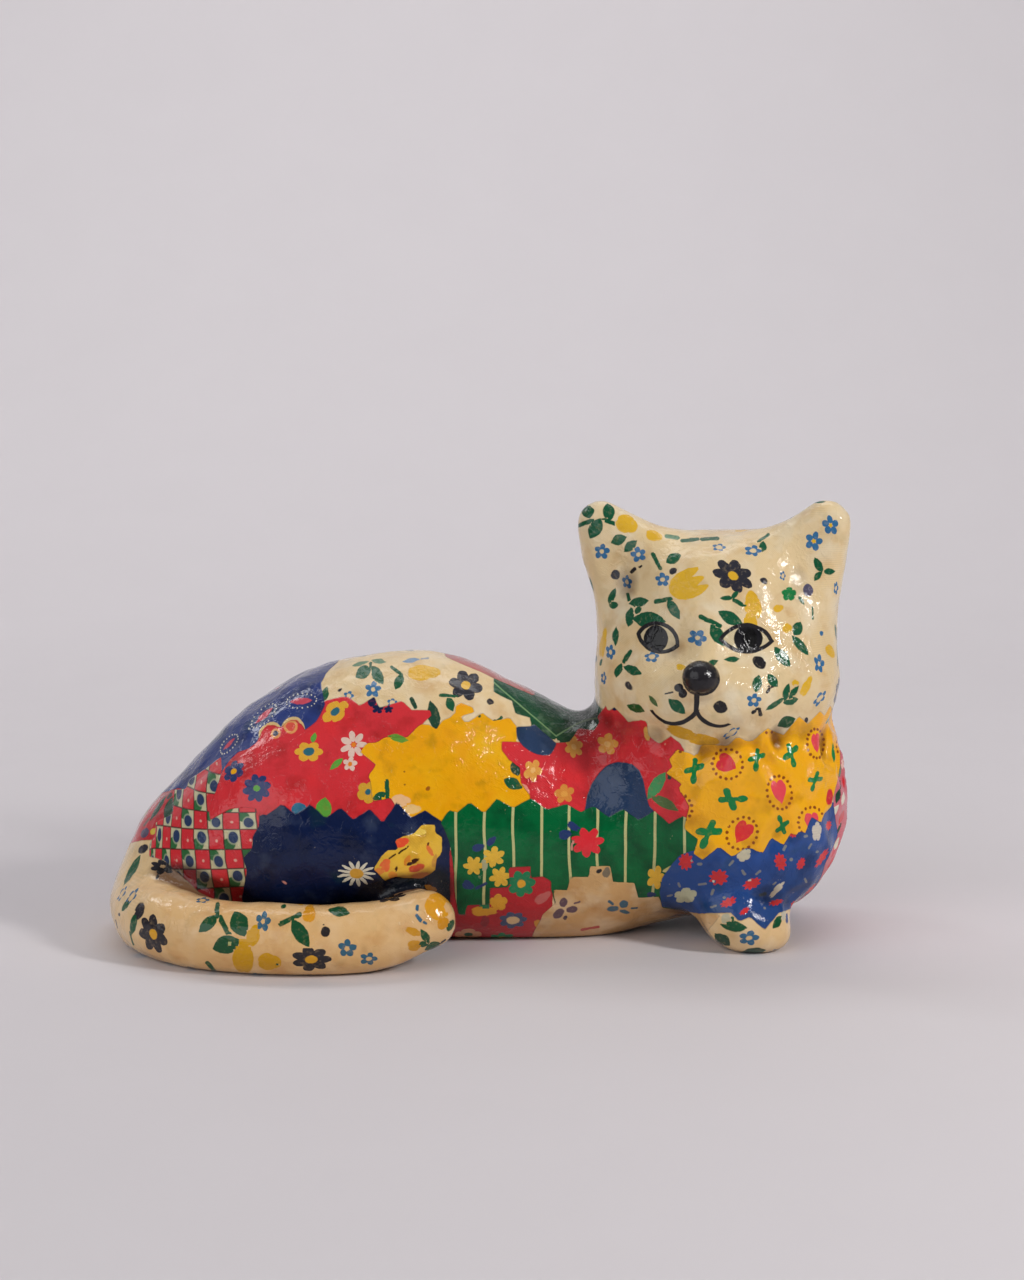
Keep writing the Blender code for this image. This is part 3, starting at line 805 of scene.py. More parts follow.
# Where prints show on the near side, scrap by scrap: across and down in pixels, the turn in degrees, the
# print in pixels, with its own colour where that isn't one of the named ones
HEAD_PRINTS = (
    (588.2, 511.5, 105, leaf(7.6, 6.4)), (608.8, 512.0, 95, leaf(9.8, 6.4)), (595.4, 528.3, 62, leaf(12, 7)),
    (588.0, 522.0, 20, stroke(11.5, 2.2)), (608.5, 521.5, -22, stroke(9, 2.2)),
    (626.5, 524.0, -24, dab(12, 10)), (653.8, 535.5, -16, dab(9, 6)), (618.8, 539.8, 22, leaf(8.8, 5.4)),
    (630.3, 546.0, 42, leaf(8.8, 4.8)), (602.0, 551.3, 10, posy(8.2, 8.2)), (638.5, 554.5, 30, posy(8, 8)),
    (656.6, 561.3, -66, stroke(10, 2)), (673.4, 558.4, 30, leaf(8.8, 5.4)), (615.5, 574.7, 0, oval(4.7, 5)),
    (672.9, 570.9, 30, oval(4.2, 3.2)), (633.2, 570.4, 45, stroke(3.6, 1.7, CHARCOAL)),
    (640.4, 566.6, 35, stroke(2, 1, CHARCOAL)), (627.0, 581.9, 10, posy(5.2, 7.2)),
    (662.5, 579.5, 20, posy(7.4, 7.4)), (687.4, 584.5, -64, tulip(14.5, 19)),
    (591.5, 584.3, -76, leaf(8, 2.6)), (612.0, 596.0, 66, leaf(9, 3.4)),
    (613.4, 605.0, 0, oval(4.6, 4, LEAF_GREEN)), (628.4, 598.0, 100, stroke(5.5, 1.7)),
    (638.5, 602.0, 8, leaf(10.2, 4.9)), (630.0, 617.0, 82, leaf(10.5, 4.6)),
    (649.0, 620.0, -6, leaf(16.5, 8.6)), (663.3, 600.3, 8, stroke(9.5, 2.4)),
    (673.4, 609.0, -62, leaf(12, 5)), (638.0, 610.0, 60, leaf(5.4, 3.2)),
    (672.0, 537.0, -10, stroke(8, 2.2, FADED_GREEN)), (690.0, 540.0, 8, stroke(10, 2.2)),
    (709.6, 538.9, 2, stroke(10, 2.4)), (719.1, 547.4, 0, posy(7, 4.4)), (753.0, 550.8, 0, posy(9, 6)),
    (763.5, 538.0, 36, stroke(8, 1.4)), (763.0, 546.5, 80, leaf(6, 4)), (791.8, 515.4, 42, leaf(8.4, 3)),
    (820.0, 502.0, -5, leaf(6, 2.2)), (830.6, 525.4, 20, posy(8.4, 10.4, TULIP_YELLOW)),
    (813.8, 541.2, 0, posy(9.2, 9.8, TULIP_YELLOW)), (818.4, 565.0, 118, leaf(9, 4.2)),
    (829.0, 571.5, 3, leaf(7, 3.4)), (817.8, 576.0, 52, leaf(6.4, 3.2)),
    (733.0, 575.7, -30, dark_bloom(21.5, 16)), (726.5, 598.0, 4, leaf(6.8, 2.6)),
    (739.5, 603.0, -30, stroke(8.5, 2)), (735.0, 594.5, 46, leaf(5.8, 2.6)),
    (753.0, 606.0, 100, dab(15.5, 9)), (750.0, 622.0, 80, dab(10, 8)), (778.4, 608.2, 20, dab(6, 4)),
    (789.0, 593.8, 15, white_blot(8, 7, SPRIG_GREEN)), (801.4, 600.5, -60, leaf(5.4, 2.4)),
    (808.1, 590.0, 10, oval(5.2, 6.6, (84, 80, 104))), (764.0, 581.0, -30, oval(4.3, 3)),
    (782.7, 575.7, 0, posy(3.6, 4.8)), (836.0, 588.0, 0, posy(3, 7)), (812.9, 613.0, 90, stroke(7, 1.1)),
    (603.2, 643.0, 82, dab(16, 4)), (615.7, 636.0, 86, leaf(10, 3)), (610.4, 652.0, 0, posy(5, 8)),
    (601.0, 661.8, 85, stroke(4, 1.3)), (627.2, 656.6, 58, stroke(8, 2)), (618.6, 670.3, 68, leaf(8, 3.6)),
    (632.7, 670.3, -24, leaf(9.6, 4.6)), (628.7, 685.9, -56, oval(5, 2.7)),
    (603.7, 677.9, 0, posy(3.6, 6.6)), (635.8, 708.2, -18, leaf(9.2, 4.4, (34, 84, 40))),
    (653.2, 701.0, -56, leaf(7, 2.4, (74, 100, 56))), (677.0, 706.4, -42, leaf(11, 5.4)),
    (680.9, 667.0, 0, dab(4.4, 3.2)), (669.0, 693.0, 14, stroke(4.5, 0.9, CHARCOAL)),
    (651.9, 657.0, 12, posy(7.6, 5.6)), (697.4, 637.7, -12, posy(9.4, 8.4)), (712.1, 663.0, 22, leaf(7, 3)),
    (684.0, 733.5, -20, dab(20, 6, (206, 152, 30))), (703.0, 740.0, -8, dab(17, 6, (216, 160, 26))),
    (710.5, 621.3, -26, stroke(12.5, 2.4)), (730.5, 618.0, -28, leaf(14, 6.4)),
    (717.5, 635.0, -58, leaf(13, 6.6)), (759.3, 662.6, -36, oval(7.6, 5.6, CHARCOAL)),
    (732.0, 659.3, 3, leaf(8.4, 2.8)), (782.3, 656.9, -50, leaf(13, 6)), (797.6, 628.7, 64, leaf(8.4, 5.6)),
    (800.3, 645.4, -48, leaf(13.5, 4.8)), (787.0, 628.2, 0, dab(5.5, 5)), (830.1, 651.1, -55, dab(8, 5)),
    (821.5, 633.4, 0, oval(2.4, 2.4, FLOWER_BLUE)), (835.8, 632.0, -75, leaf(9, 2.4)),
    (837.3, 655.0, 80, stroke(12, 1.5)), (819.1, 663.6, 5, posy(6.2, 9.6)), (757.2, 683.7, 76, leaf(9, 5)),
    (772.6, 680.5, -50, leaf(8.4, 5.2)), (771.0, 686.5, 20, stroke(4, 1.8, CHARCOAL)),
    (768.5, 690.5, 60, stroke(3.6, 1.6, CHARCOAL)), (754.0, 700.4, 10, posy(7.8, 7.4)),
    (755.6, 710.8, 34, stroke(5, 1.8, CHARCOAL)), (760.0, 712.0, -74, stroke(4.5, 2, CHARCOAL)),
    (775.5, 704.0, 32, leaf(12, 2.8)), (786.4, 692.6, 74, leaf(9.8, 3.8)),
    (793.6, 692.4, 50, leaf(8.8, 3.4)), (790.6, 701.0, 12, leaf(8.8, 4)), (806.2, 686.5, 62, dab(11.5, 4.6)),
    (795.2, 683.0, 0, dab(4, 3.2)), (820.0, 698.5, 50, posy(10, 4.6)),
    (786.6, 722.0, 20, leaf(10.4, 5.8, (22, 78, 44))), (806.2, 720.0, 0, oval(2.2, 2.8)),
    (720.6, 707.1, -20, oval(7.2, 6.2, CHARCOAL)), (731.6, 733.0, 36, posy(10, 3.6)),
)
TAIL_PRINTS = (
    (133.0, 869.0, 62, leaf(17, 4.4)), (124.4, 854.8, 75, stroke(8, 1.2, DARK_FLOWER)),
    (143.0, 849.0, 30, oval(7, 4)), (163.0, 866.7, 0, flower(15, 7.5, DARK_FLOWER, DARK_FLOWER, 0, 7, 1.12)),
    (157.9, 875.4, 70, stroke(4, 1.3, DARK_FLOWER)), (121.8, 894.0, 60, posy(9, 3.8)),
    (131.6, 896.9, 55, posy(10, 4.2)), (125.8, 905.0, 52, leaf(8.5, 3)), (119.2, 914.6, 0, oval(1.8, 2)),
    (139.0, 911.5, 68, oval(9, 5)), (133.6, 923.0, 76, leaf(13, 4.2)), (131.5, 938.0, -82, stroke(8, 1.3)),
    (153.0, 934.2, -70, dark_bloom(20, 15.5, 7)), (116.5, 924.0, -72, stroke(5, 0.9, DARK_FLOWER)),
    (202.4, 900.2, 5, posy(6.8, 4.8)), (217.0, 911.0, -82, stroke(7.5, 2.4)),
    (224.5, 926.5, -58, stroke(12, 2.6)), (208.1, 923.7, 42, leaf(12.5, 6)),
    (239.2, 924.1, -62, leaf(13, 9.5)), (226.3, 944.7, 18, leaf(15, 9)),
    (229.0, 943.4, 16, leaf(7.5, 2, (176, 196, 146))), (243.0, 957.0, 88, dab(19, 11, TAIL_YELLOW)),
    (253.0, 936.0, 70, dab(11, 7, TAIL_YELLOW)), (269.0, 962.0, 0, dab(12, 9.5, TAIL_YELLOW)),
    (276.8, 966.0, 75, stroke(4.5, 1.2)), (210.5, 966.5, -56, stroke(7, 2.4)),
    (223.4, 897.8, 4, oval(8, 4, (98, 92, 66))), (238.5, 897.5, 30, oval(4, 2.6, (150, 70, 56))),
    (263.0, 921.6, 8, posy(7.8, 9.2)), (290.0, 919.5, 24, stroke(12.5, 2.3)),
    (300.3, 933.5, -56, leaf(16, 7)), (311.0, 902.0, 2, dab(19, 6, SOFT_GOLD)),
    (309.0, 914.0, 90, dab(8, 6.5, SOFT_GOLD)), (339.0, 911.5, -8, leaf(11, 4.2)),
    (325.4, 931.8, 5, oval(4.6, 5.2)), (324.0, 925.5, -70, stroke(1.8, 0.9, DARK_FLOWER)),
    (311.3, 959.5, 0, dark_bloom(20, 13, 7)), (347.1, 948.4, 12, posy(9.2, 9.2)),
    (368.7, 958.9, 0, posy(8.6, 7)), (283.5, 906.7, 0, oval(2.8, 2.6, LEAF_GREEN)),
    (438.9, 905.5, 50, dab(15, 13.5, (226, 174, 44))), (446.6, 906.6, -64, oval(8, 4.6, (228, 200, 156))),
    (442.7, 923.0, 0, dab(6, 7, (214, 160, 36))), (450.4, 925.5, 60, oval(5.8, 3.4, LEAF_GREEN)),
    (417.3, 908.0, 90, stroke(3, 1.6, FLOWER_BLUE)), (419.0, 918.0, -52, stroke(5, 1.6, FLOWER_BLUE)),
    (425.0, 922.8, -34, stroke(2.4, 1.3, FLOWER_BLUE)), (413.7, 931.9, -24, dab(9, 4, OLD_GOLD)),
    (414.4, 945.6, 10, dab(7, 6, OLD_GOLD)), (425.2, 936.5, -62, leaf(8.5, 4)),
    (423.8, 944.0, 0, oval(5, 3.4, LEAF_GREEN)), (432.4, 946.4, 25, leaf(8.5, 5)),
    (441.2, 942.6, 36, stroke(6, 1.5, CHARCOAL)),
)
BACK_PRINTS = (
    (360.7, 663.5, 15, leaf(9, 2.8, FADED_GREEN)), (378.5, 661.2, -12, leaf(8, 3.4, FADED_GREEN)),
    (370.4, 665.5, 90, stroke(4, 1.4)), (363.5, 672.0, 34, leaf(9.4, 6.6)),
    (377.3, 675.0, -55, leaf(11.5, 5.6)), (373.0, 689.4, 12, posy(8.4, 8.4)),
    (396.3, 670.7, -36, stroke(8, 1.9)), (399.0, 681.3, 68, leaf(9, 4.8)),
    (411.0, 660.4, 10, leaf(9, 2.6, (120, 150, 180))), (424.0, 658.5, 10, stroke(5, 1, (150, 160, 170))),
    (423.2, 672.7, 0, dab(17.5, 8, TULIP_YELLOW)), (465.7, 685.3, -14, dark_bloom(17.5, 15, 6)),
    (449.0, 695.6, -4, stroke(10.5, 1.8)), (450.2, 703.9, -70, leaf(8, 4.4)),
    (490.2, 701.7, -20, oval(3.7, 3.1)), (499.0, 719.8, 45, stroke(4.5, 1.5)),
    (494.6, 722.6, 20, leaf(5, 3)), (348.6, 696.0, 0, posy(5.8, 5)), (392.0, 702.5, 10, posy(5, 4.4)),
    (413.5, 703.1, -65, stroke(6.8, 2.1, DARK_LEAF_GREEN)),
    (433.6, 715.8, -76, dark_leaf(15.5, 6.4)), (325.0, 694.0, 80, leaf(8, 4)),
    (340.0, 690.0, 30, oval(2.6, 1.4)),
)
PAW_PRINTS = (
    (722.3, 940.0, -38, dark_leaf(10, 6.4)), (748.9, 938.1, 5, posy(10.5, 8)),
    (753.8, 951.5, 6, dark_leaf(12.5, 4.6)), (773.1, 950.9, 15, posy(6.4, 4)),
    (733.8, 926.5, -6, leaf(13.5, 5.6)), (732.6, 920.0, 90, stroke(4, 1.8)),
    (726.0, 918.7, 50, oval(5.4, 4.4, (192, 194, 172))), (777.4, 922.4, 50, leaf(8, 4)),
    (783.6, 914.0, 75, oval(6, 3.2, (200, 202, 190))), (786.8, 918.0, 80, oval(5, 2, DITSY_BLUE)),
)
HAUNCH_PRINTS = (
    (335.4, 711.6, 35, flower(15, 10, GOLD_PETALS, TEAL, 3.6, 4, 1.2)),
    (308.7, 751.7, 0, flower(14.5, 10, GOLD_PETALS, TEAL, 4, 6, 1.2)),
    (313.4, 738.2, 74, leaf(6, 2.6, FRESH_GREEN)), (353.6, 744.7, 0, daisy(14)),
    (350.1, 764.0, 10, flower(7.4, 7.4, PINK_WHITE, ORANGE, 2.2, 5, 0.95)),
    (336.8, 763.7, 40, leaf(8.6, 3.2, FRESH_GREEN)), (275.7, 733.5, 0, ringed_spot(5.6, 2.9, NAVY)),
    (290.5, 726.5, 0, ringed_spot(7.6, 4.4, SCALLOP_RED)),
    (233.7, 771.4, 40, flower(12.5, 9.5, NAVY_FLOWER, GOLDEN, 2.6, 6, 1.15)),
    (256.8, 788.2, 15, flower(15, 14, NAVY_FLOWER, FRESH_GREEN, 3.2, 8, 1.15)),
    (367.7, 792.0, -10, flower(11, 11, (214, 164, 52), TEAL, 3, 5, 1.2)),
    (323.5, 809.0, 84, leaf(12, 8, FRESH_GREEN)), (299.0, 809.0, 0, oval(7.6, 6, (44, 110, 140))),
    (378.0, 708.0, 10, posy(7, 6, NAVY, NAVY)), (388.5, 709.0, 20, posy(4.4, 4, NAVY, NAVY)),
    (372.0, 702.0, 60, oval(5, 4, NAVY)), (396.0, 737.0, -6, leaf(9, 2.8, GRASS_GREEN)),
    (348.0, 712.0, -36, leaf(8, 2.6, RED)), (350.0, 742.0, 30, leaf(2, 2, RED)),
)
PAISLEY_PRINTS = (
    (301.2, 701.0, 4, ringed_leaf(12, 3.2)), (263.8, 715.7, 42, ringed_leaf(12, 3)),
    (229.0, 744.0, 46, ringed_leaf(8, 2.2)), (270.5, 735.0, 0, scallop(13)),
    (292.8, 729.8, 0, scallop(12.8)), (249.0, 728.5, 8, stroke(1.2, 1.2, WHITE)),
)
GOLDEN_PRINTS = (
    (387.2, 790.0, -86, stroke(10.5, 2.3)), (379.0, 796.8, 32, leaf(8.6, 4.4)),
    (400.5, 801.0, 0, dab(10, 6.5, (238, 190, 140))), (412.0, 809.0, 0, dab(9, 5, (236, 196, 130))),
    (376.5, 805.0, 60, dab(10, 7, (228, 186, 30))), (515.6, 768.3, -70, dark_leaf(8, 5.4)),
    (512.9, 783.6, -26, leaf(10.5, 6)), (399.6, 739.4, -8, leaf(9, 3, GRASS_GREEN)),
    (479.6, 716.4, 40, stroke(1.6, 1.1)), (404.5, 771.5, 0, oval(1, 1, SPOT_BROWN)),
    (427.8, 788.5, 50, oval(2.8, 2, (168, 96, 20))), (405.0, 784.5, 0, oval(0.9, 0.9, SPOT_BROWN)),
)
RED_MIDDLE_PRINTS = (
    (573.9, 746.9, 20, flower(9.6, 11.5, PALE_ORANGE, PALE_GOLD, 3, 6, 1.02)),
    (607.5, 744.2, 8, flower(11, 11, PALE_ORANGE, PALE_GOLD, 3, 5, 1.02)),
    (532.9, 770.4, -10, flower(9.8, 11.5, PALE_ORANGE, PALE_GOLD, 3, 5, 1.02)),
    (564.3, 793.8, 25, flower(10.8, 9.4, (218, 142, 62), PALE_ORANGE, 3, 5, 1.02)),
    (656.5, 785.5, 58, leaf(17, 6, (72, 150, 92))), (664.1, 802.5, -28, leaf(16, 5.2, (84, 110, 62))),
    (614.5, 708.5, 0, oval(2.6, 2.2, NAVY)), (647.0, 733.5, -78, oval(7, 2.8, (230, 182, 90))),
    (654.0, 733.5, -62, stroke(6.5, 1.5, GREY_BLUE)), (524.0, 789.0, -40, dab(7, 4, (232, 150, 130))),
    (668.5, 777.0, -30, oval(3, 2, DARK_LEAF_GREEN)),
)
SUNNY_PRINTS = (
    (412.9, 862.0, 28, oval(7, 2.3, (60, 30, 20))), (416.5, 868.0, 14, dab(8.5, 4.2, (196, 72, 40))),
    (385.0, 865.5, 66, dab(7.5, 5.5, (238, 112, 58))), (396.2, 869.0, 80, oval(3, 1.4, (70, 36, 16))),
    (403.5, 850.0, 36, stroke(6.5, 0.9, (60, 40, 20))), (401.5, 842.5, 20, dab(7.5, 5, (232, 84, 50))),
    (428.2, 844.3, 70, oval(2.4, 1.2, (90, 40, 20))), (430.0, 851.0, -60, dab(8, 2.2, (226, 120, 60))),
    (379.0, 871.5, 20, dab(6, 4, (232, 140, 60))), (392.5, 875.0, 0, dab(5, 4, (236, 150, 50))),
    (420.0, 875.5, 10, dab(9, 3.4, (232, 146, 52))), (407.5, 860.5, 70, dab(6, 3, (214, 130, 44))),
    (419.0, 832.0, 0, dab(7, 4, (240, 206, 90))), (434.5, 861.0, 80, dab(7, 2.6, (206, 150, 60))),
    (392.0, 856.5, 30, stroke(5, 0.8, (70, 44, 20))),
)
NAVY_PRINTS = (
    (356.5, 873.5, 0, flower(19.5, 13.5, WHITE, DAISY_GOLD, 5.0, 13, 0.70)),
    (284.5, 882.5, -28, oval(2.4, 1.2, (220, 150, 140))),
)
LOWER_RED_PRINTS = (
    (521.2, 883.7, 8, flower(14.8, 14.4, FLOWER_GREEN, GOLD_PETALS, 4.4, 7, 1.15)),
    (498.0, 902.8, 20, flower(10, 9.6, GOLD_PETALS, GOLD_PETALS, 4, 5, 1.2)),
    (484.0, 911.1, 0, dab(14, 6, GOLD_PETALS)), (484.8, 906.6, 0, oval(5.6, 3.6, FLOWER_GREEN)),
    (513.0, 920.2, 4, flower(14.8, 10, GREY_BLUE, CREAM, 4.6, 7, 1.2)),
    (485.1, 921.2, 80, oval(6.5, 4.4, (150, 50, 56))),
    (468.5, 934.5, 0, flower(14, 8, PEACH, LEAF_GREEN, 2.6, 4, 1.2)),
    (511.3, 937.5, 0, oval(12, 2.8, (84, 70, 68))), (542.8, 897.8, 36, dab(10, 5, (196, 106, 104))),
    (539.0, 925.0, -60, dab(7, 4, (214, 156, 60))),
)
FENCE_PRINTS = (
    (473.6, 865.8, 0, sunny_star(10.5, 10.5)), (493.6, 857.0, 25, sunny_star(12, 11)),
    (500.0, 877.0, 10, sunny_star(11, 11)),
    (484.0, 865.0, 80, dab(7, 4, (176, 176, 136))), (478.0, 847.5, 15, dab(6.5, 4, NAVY_FLOWER)),
    (491.4, 841.3, 45, dab(6.5, 3.6, NAVY_FLOWER)), (468.0, 884.8, -30, dab(6.5, 5, NAVY_FLOWER)),
    (481.0, 886.0, 28, stroke(7.5, 1.4, NAVY_FLOWER)),
    (587.6, 842.3, 8, flower(17, 15.5, FLAG_RED, FLAG_RED, 6, 7, 1.02)),
    (573.6, 826.5, -28, dab(7.5, 4, NAVY_FLOWER)), (565.0, 834.5, 14, dab(7, 5, NAVY_FLOWER)),
    (655.8, 877.5, 0, sunny_star(10, 13, 5)),
    (669.0, 869.4, 32, stroke(6.5, 2.6, (206, 200, 130))), (651.4, 894.5, 0, dab(5, 3.2, NAVY_FLOWER)),
    (572.5, 845.5, 84, stroke(5.5, 1.4, (206, 140, 124))),
)
BELLY_PRINTS = (
    (563.4, 902.4, 70, oval(5, 4.2, MAUVE)), (558.4, 913.6, 42, oval(6.6, 4.2, MAUVE)),
    (571.8, 909.6, 8, oval(6, 3.8, MAUVE)), (577.0, 902.6, 22, stroke(3.6, 1, MAUVE)),
    (565.2, 917.8, 45, dab(2.8, 2.4, (70, 60, 84))), (624.0, 904.4, 0, oval(4.8, 4.4, SLATE)),
    (613.3, 908.8, 0, oval(6.2, 3.2, SLATE)), (634.3, 908.1, 0, stroke(4, 1.3, SLATE)),
    (624.6, 911.8, -18, oval(5.6, 2.2, SLATE)), (610.8, 902.8, -38, stroke(4, 1.6, SLATE)),
    (590.0, 928.3, 9, stroke(10, 1.7, (180, 66, 56))), (599.2, 871.2, 40, oval(3, 2.2, CHARCOAL)),
    (606.5, 872.5, 80, dab(6, 4, (124, 114, 96))),
)
DITSY_PRINTS = (
    (685.9, 861.8, 0, red_burst(7.5, 9.5)), (718.6, 877.5, 10, red_burst(10, 8.6)),
    (752.0, 883.6, 26, red_burst(10, 5.6)), (780.4, 861.8, 18, red_burst(6.4, 9.8)),
    (801.0, 863.6, -20, red_burst(4.2, 6.6)), (821.6, 858.2, 54, red_burst(12, 4)),
    (828.3, 825.4, 80, red_burst(5.4, 3.8)), (810.1, 889.7, 54, red_burst(9.8, 3.8)),
    (728.3, 902.4, 26, red_burst(9, 4.4)), (744.7, 910.9, 36, red_burst(6, 2.6)),
    (776.2, 902.4, 9, red_burst(8, 3.2)), (793.7, 832.6, 60, red_burst(6, 4.6)),
    (685.3, 895.7, 22, white_blot(11.5, 8.5, (192, 196, 168))),
    (744.0, 854.8, 40, white_blot(8, 6.4, (206, 198, 170))), (776.8, 889.7, 48, white_blot(11, 3.4)),
    (816.8, 831.5, 88, white_blot(10, 5.4, (208, 200, 186))), (713.2, 881.6, 20, stroke(1.9, 1.4, WHITE)),
    (749.5, 880.4, 35, stroke(2.4, 1.3, WHITE)), (669.5, 895.7, 10, tick(3, 1.1)),
    (691.0, 860.6, 10, stroke(2, 1.6, (176, 170, 160))), (699.8, 864.2, 5, tick(2.8, 1.5)),
    (731.3, 863.0, 58, tick(3.6, 1.2)), (743.5, 872.7, -54, tick(3.8, 1.2)),
    (758.0, 872.7, 40, tick(3.8, 1.2)), (702.3, 884.2, 10, tick(4.8, 1.2)),
    (712.6, 892.1, 70, tick(3.6, 1.2)), (724.0, 897.5, 0, tick(1.8, 1.4)),
    (679.2, 884.8, -70, tick(3, 1.1)), (774.4, 883.4, 45, tick(2.6, 1)),
    (791.3, 859.4, 0, tick(1.7, 1.5)), (810.1, 846.0, 62, tick(3.4, 1.1)),
    (817.4, 852.1, 0, tick(1.7, 1.5)), (784.7, 847.9, 62, tick(3.6, 1.4)),
    (805.9, 836.4, 10, tick(2.4, 1.4)), (805.9, 880.6, -62, tick(3.4, 1.2)),
    (713.2, 906.6, 20, tick(3.4, 0.9)), (762.8, 894.5, 10, stroke(4.4, 1.8, (60, 74, 90))),
    (764.7, 908.0, 0, tick(1.3, 1.2)),
)
HEARTS_PRINTS = (
    (727.5, 764.2, 62, ringed_heart(9.6, 10, (216, 54, 66), 5.2)),
    (779.5, 792.7, 14, ringed_heart(7.8, 12, PINK_RED, 4.8)),
    (816.4, 743.6, 4, ringed_heart(5.4, 9.6, PINK_RED, 5.0)),
    (742.0, 833.3, -28, ringed_heart(9.6, 11.8, (226, 52, 54), 5.0)),
    (676.5, 808.0, 0, ringed_heart(9, 9)), (768.6, 717.0, 0, ringed_heart(10, 10)),
    (811.5, 822.0, 0, ringed_heart(8, 9)), (676.0, 737.5, 0, ringed_heart(9, 9)),
    (829.5, 797.0, 80, oval(8, 4, (208, 48, 60))), (694.4, 768.5, -5, green_sprig(13.5)),
    (756.8, 757.5, -6, green_sprig(12)), (790.7, 752.8, 16, green_sprig(13)),
    (815.6, 779.5, -20, green_sprig(11)), (730.1, 799.4, 92, green_sprig(15.5)),
    (709.0, 831.5, -22, green_sprig(16.5)), (782.3, 826.3, 200, green_sprig(11)),
    (833.7, 752.1, 88, leaf(10.5, 2.6, SPRIG_GREEN)),
)
PINK_EDGE_PRINTS = (
    (834.0, 812.0, 56, leaf(9, 3.4, WHITE)), (838.0, 796.0, 70, dark_leaf(8, 3)),
    (836.0, 845.0, 64, leaf(9, 2.6, WHITE)), (831.0, 862.0, 60, stroke(7, 1.4, RED)),
    (829.0, 808.0, 56, stroke(9, 2.6, DITSY_BLUE)), (823.0, 878.0, 58, leaf(8, 2.6, WHITE)),
    (839.5, 770.0, 84, leaf(8, 2.4, (120, 140, 120))), (833.5, 716.0, 84, leaf(9, 3, RED)),
    (836.0, 733.0, 78, leaf(8, 2.4, WHITE)), (839.0, 750.0, 84, leaf(7, 3, RED)),
    (842.5, 764.0, 80, leaf(6, 2.4, (232, 190, 180))), (843.5, 782.0, 84, leaf(7, 3, RED)),
    (840.5, 786.0, 70, stroke(6, 1.2, DARK_LEAF_GREEN)), (843.0, 799.0, 76, leaf(7, 2.4, WHITE)),
    (841.5, 817.0, 66, leaf(8, 3, RED)), (838.5, 829.0, 62, stroke(7, 1.2, DARK_LEAF_GREEN)),
    (833.5, 852.0, 64, leaf(7, 2.6, (214, 60, 80))), (820.0, 888.0, 50, leaf(8, 2.4, RED)),
)
RUMP_PRINTS = (
    (158.0, 808.0, 62, dark_leaf(16, 4)), (168.5, 810.0, 84, dark_leaf(13, 6)),
    (144.7, 833.0, 40, oval(5.6, 4.6, (70, 62, 92))), (153.6, 831.0, 32, dab(5, 2.8, (214, 186, 66))),
    (169.5, 796.0, 60, oval(4, 3, (70, 74, 70))), (146.5, 822.0, 50, stroke(6, 1.6, (120, 90, 84))),
)
PRINTS = {
    "skin": HEAD_PRINTS + TAIL_PRINTS + BACK_PRINTS + PAW_PRINTS,
    "haunch": HAUNCH_PRINTS,
    "rump": RUMP_PRINTS,
    "paisley": PAISLEY_PRINTS,
    "golden": GOLDEN_PRINTS,
    "red middle": RED_MIDDLE_PRINTS,
    "navy": NAVY_PRINTS,
    "sunny": SUNNY_PRINTS,
    "lower red": LOWER_RED_PRINTS,
    "fence": FENCE_PRINTS,
    "belly side": BELLY_PRINTS,
    "ditsy": DITSY_PRINTS,
    "hearts": HEARTS_PRINTS,
    "pink edge": PINK_EDGE_PRINTS,
}
# How closely a face has to turn the way of a print that was seen, or that fills a bare place, to carry it
SEEN_AGREEMENT = 0.15
FLAT_AGREEMENT = 0.60

# How squarely the camera has to see the skin: for a print to be trusted, and for a face to count as seen
STEEPEST_VIEW = 0.50
SEEN_VIEW = 0.08
LEAST_VIEW = 0.05
UPRIGHT_LIMIT = 0.97
PRINT_SPARE_MM = 1.4
FACES_AT_ONCE = 6000
FILL_SEED = 7
FILL_TRIES = 3000

# The place, in mm from a print's middle, that a corner without a print is given
NO_PRINT_MM = 99.0

# How a stored layer is named by how many numbers it has
LAYER_KINDS = {1: ("FLOAT", "value"), 3: ("FLOAT_VECTOR", "vector"), 4: ("FLOAT_COLOR", "color")}


def inside(shown_at, places):
    """Which photograph places lie inside a closed cutting line."""
    odd = np.zeros(len(shown_at), bool)
    across, down = shown_at.T
    for (x0, y0, _), (x1, y1, _) in zip(places, places[1:] + places[:1]):
        if y0 == y1:
            continue
        crosses = (y0 > down) != (y1 > down)
        odd ^= crosses & (across < x0 + (down - y0) * (x1 - x0) / (y1 - y0))
    return odd


def lay_cut(skin, places, far):
    """A cutting line laid on the skin: rows of start and end and of place along the teeth, in mm, and whether
    the row is toothed."""
    rows = []
    along = 0.0
    for (x0, y0, toothed), (x1, y1, _) in zip(places, places[1:] + places[:1]):
        if not toothed:
            along = 0.0
        count = max(1, math.ceil(math.hypot(x1 - x0, y1 - y0) / OUTLINE_STEP_PIXELS))
        last = skin.hit(x0, y0, far)
        for step in range(1, count + 1):
            share = step / count
            place = skin.hit(x0 + (x1 - x0) * share, y0 + (y1 - y0) * share, far)
            if last is not None and place is not None:
                length = (place - last).length / MM
                if 0.0 < length < BIGGEST_STEP_MM:
                    rows.append([*(last / MM), *(place / MM), along, float(toothed)])
                    along += length
            last = place
    return np.array(rows).reshape(-1, 8)


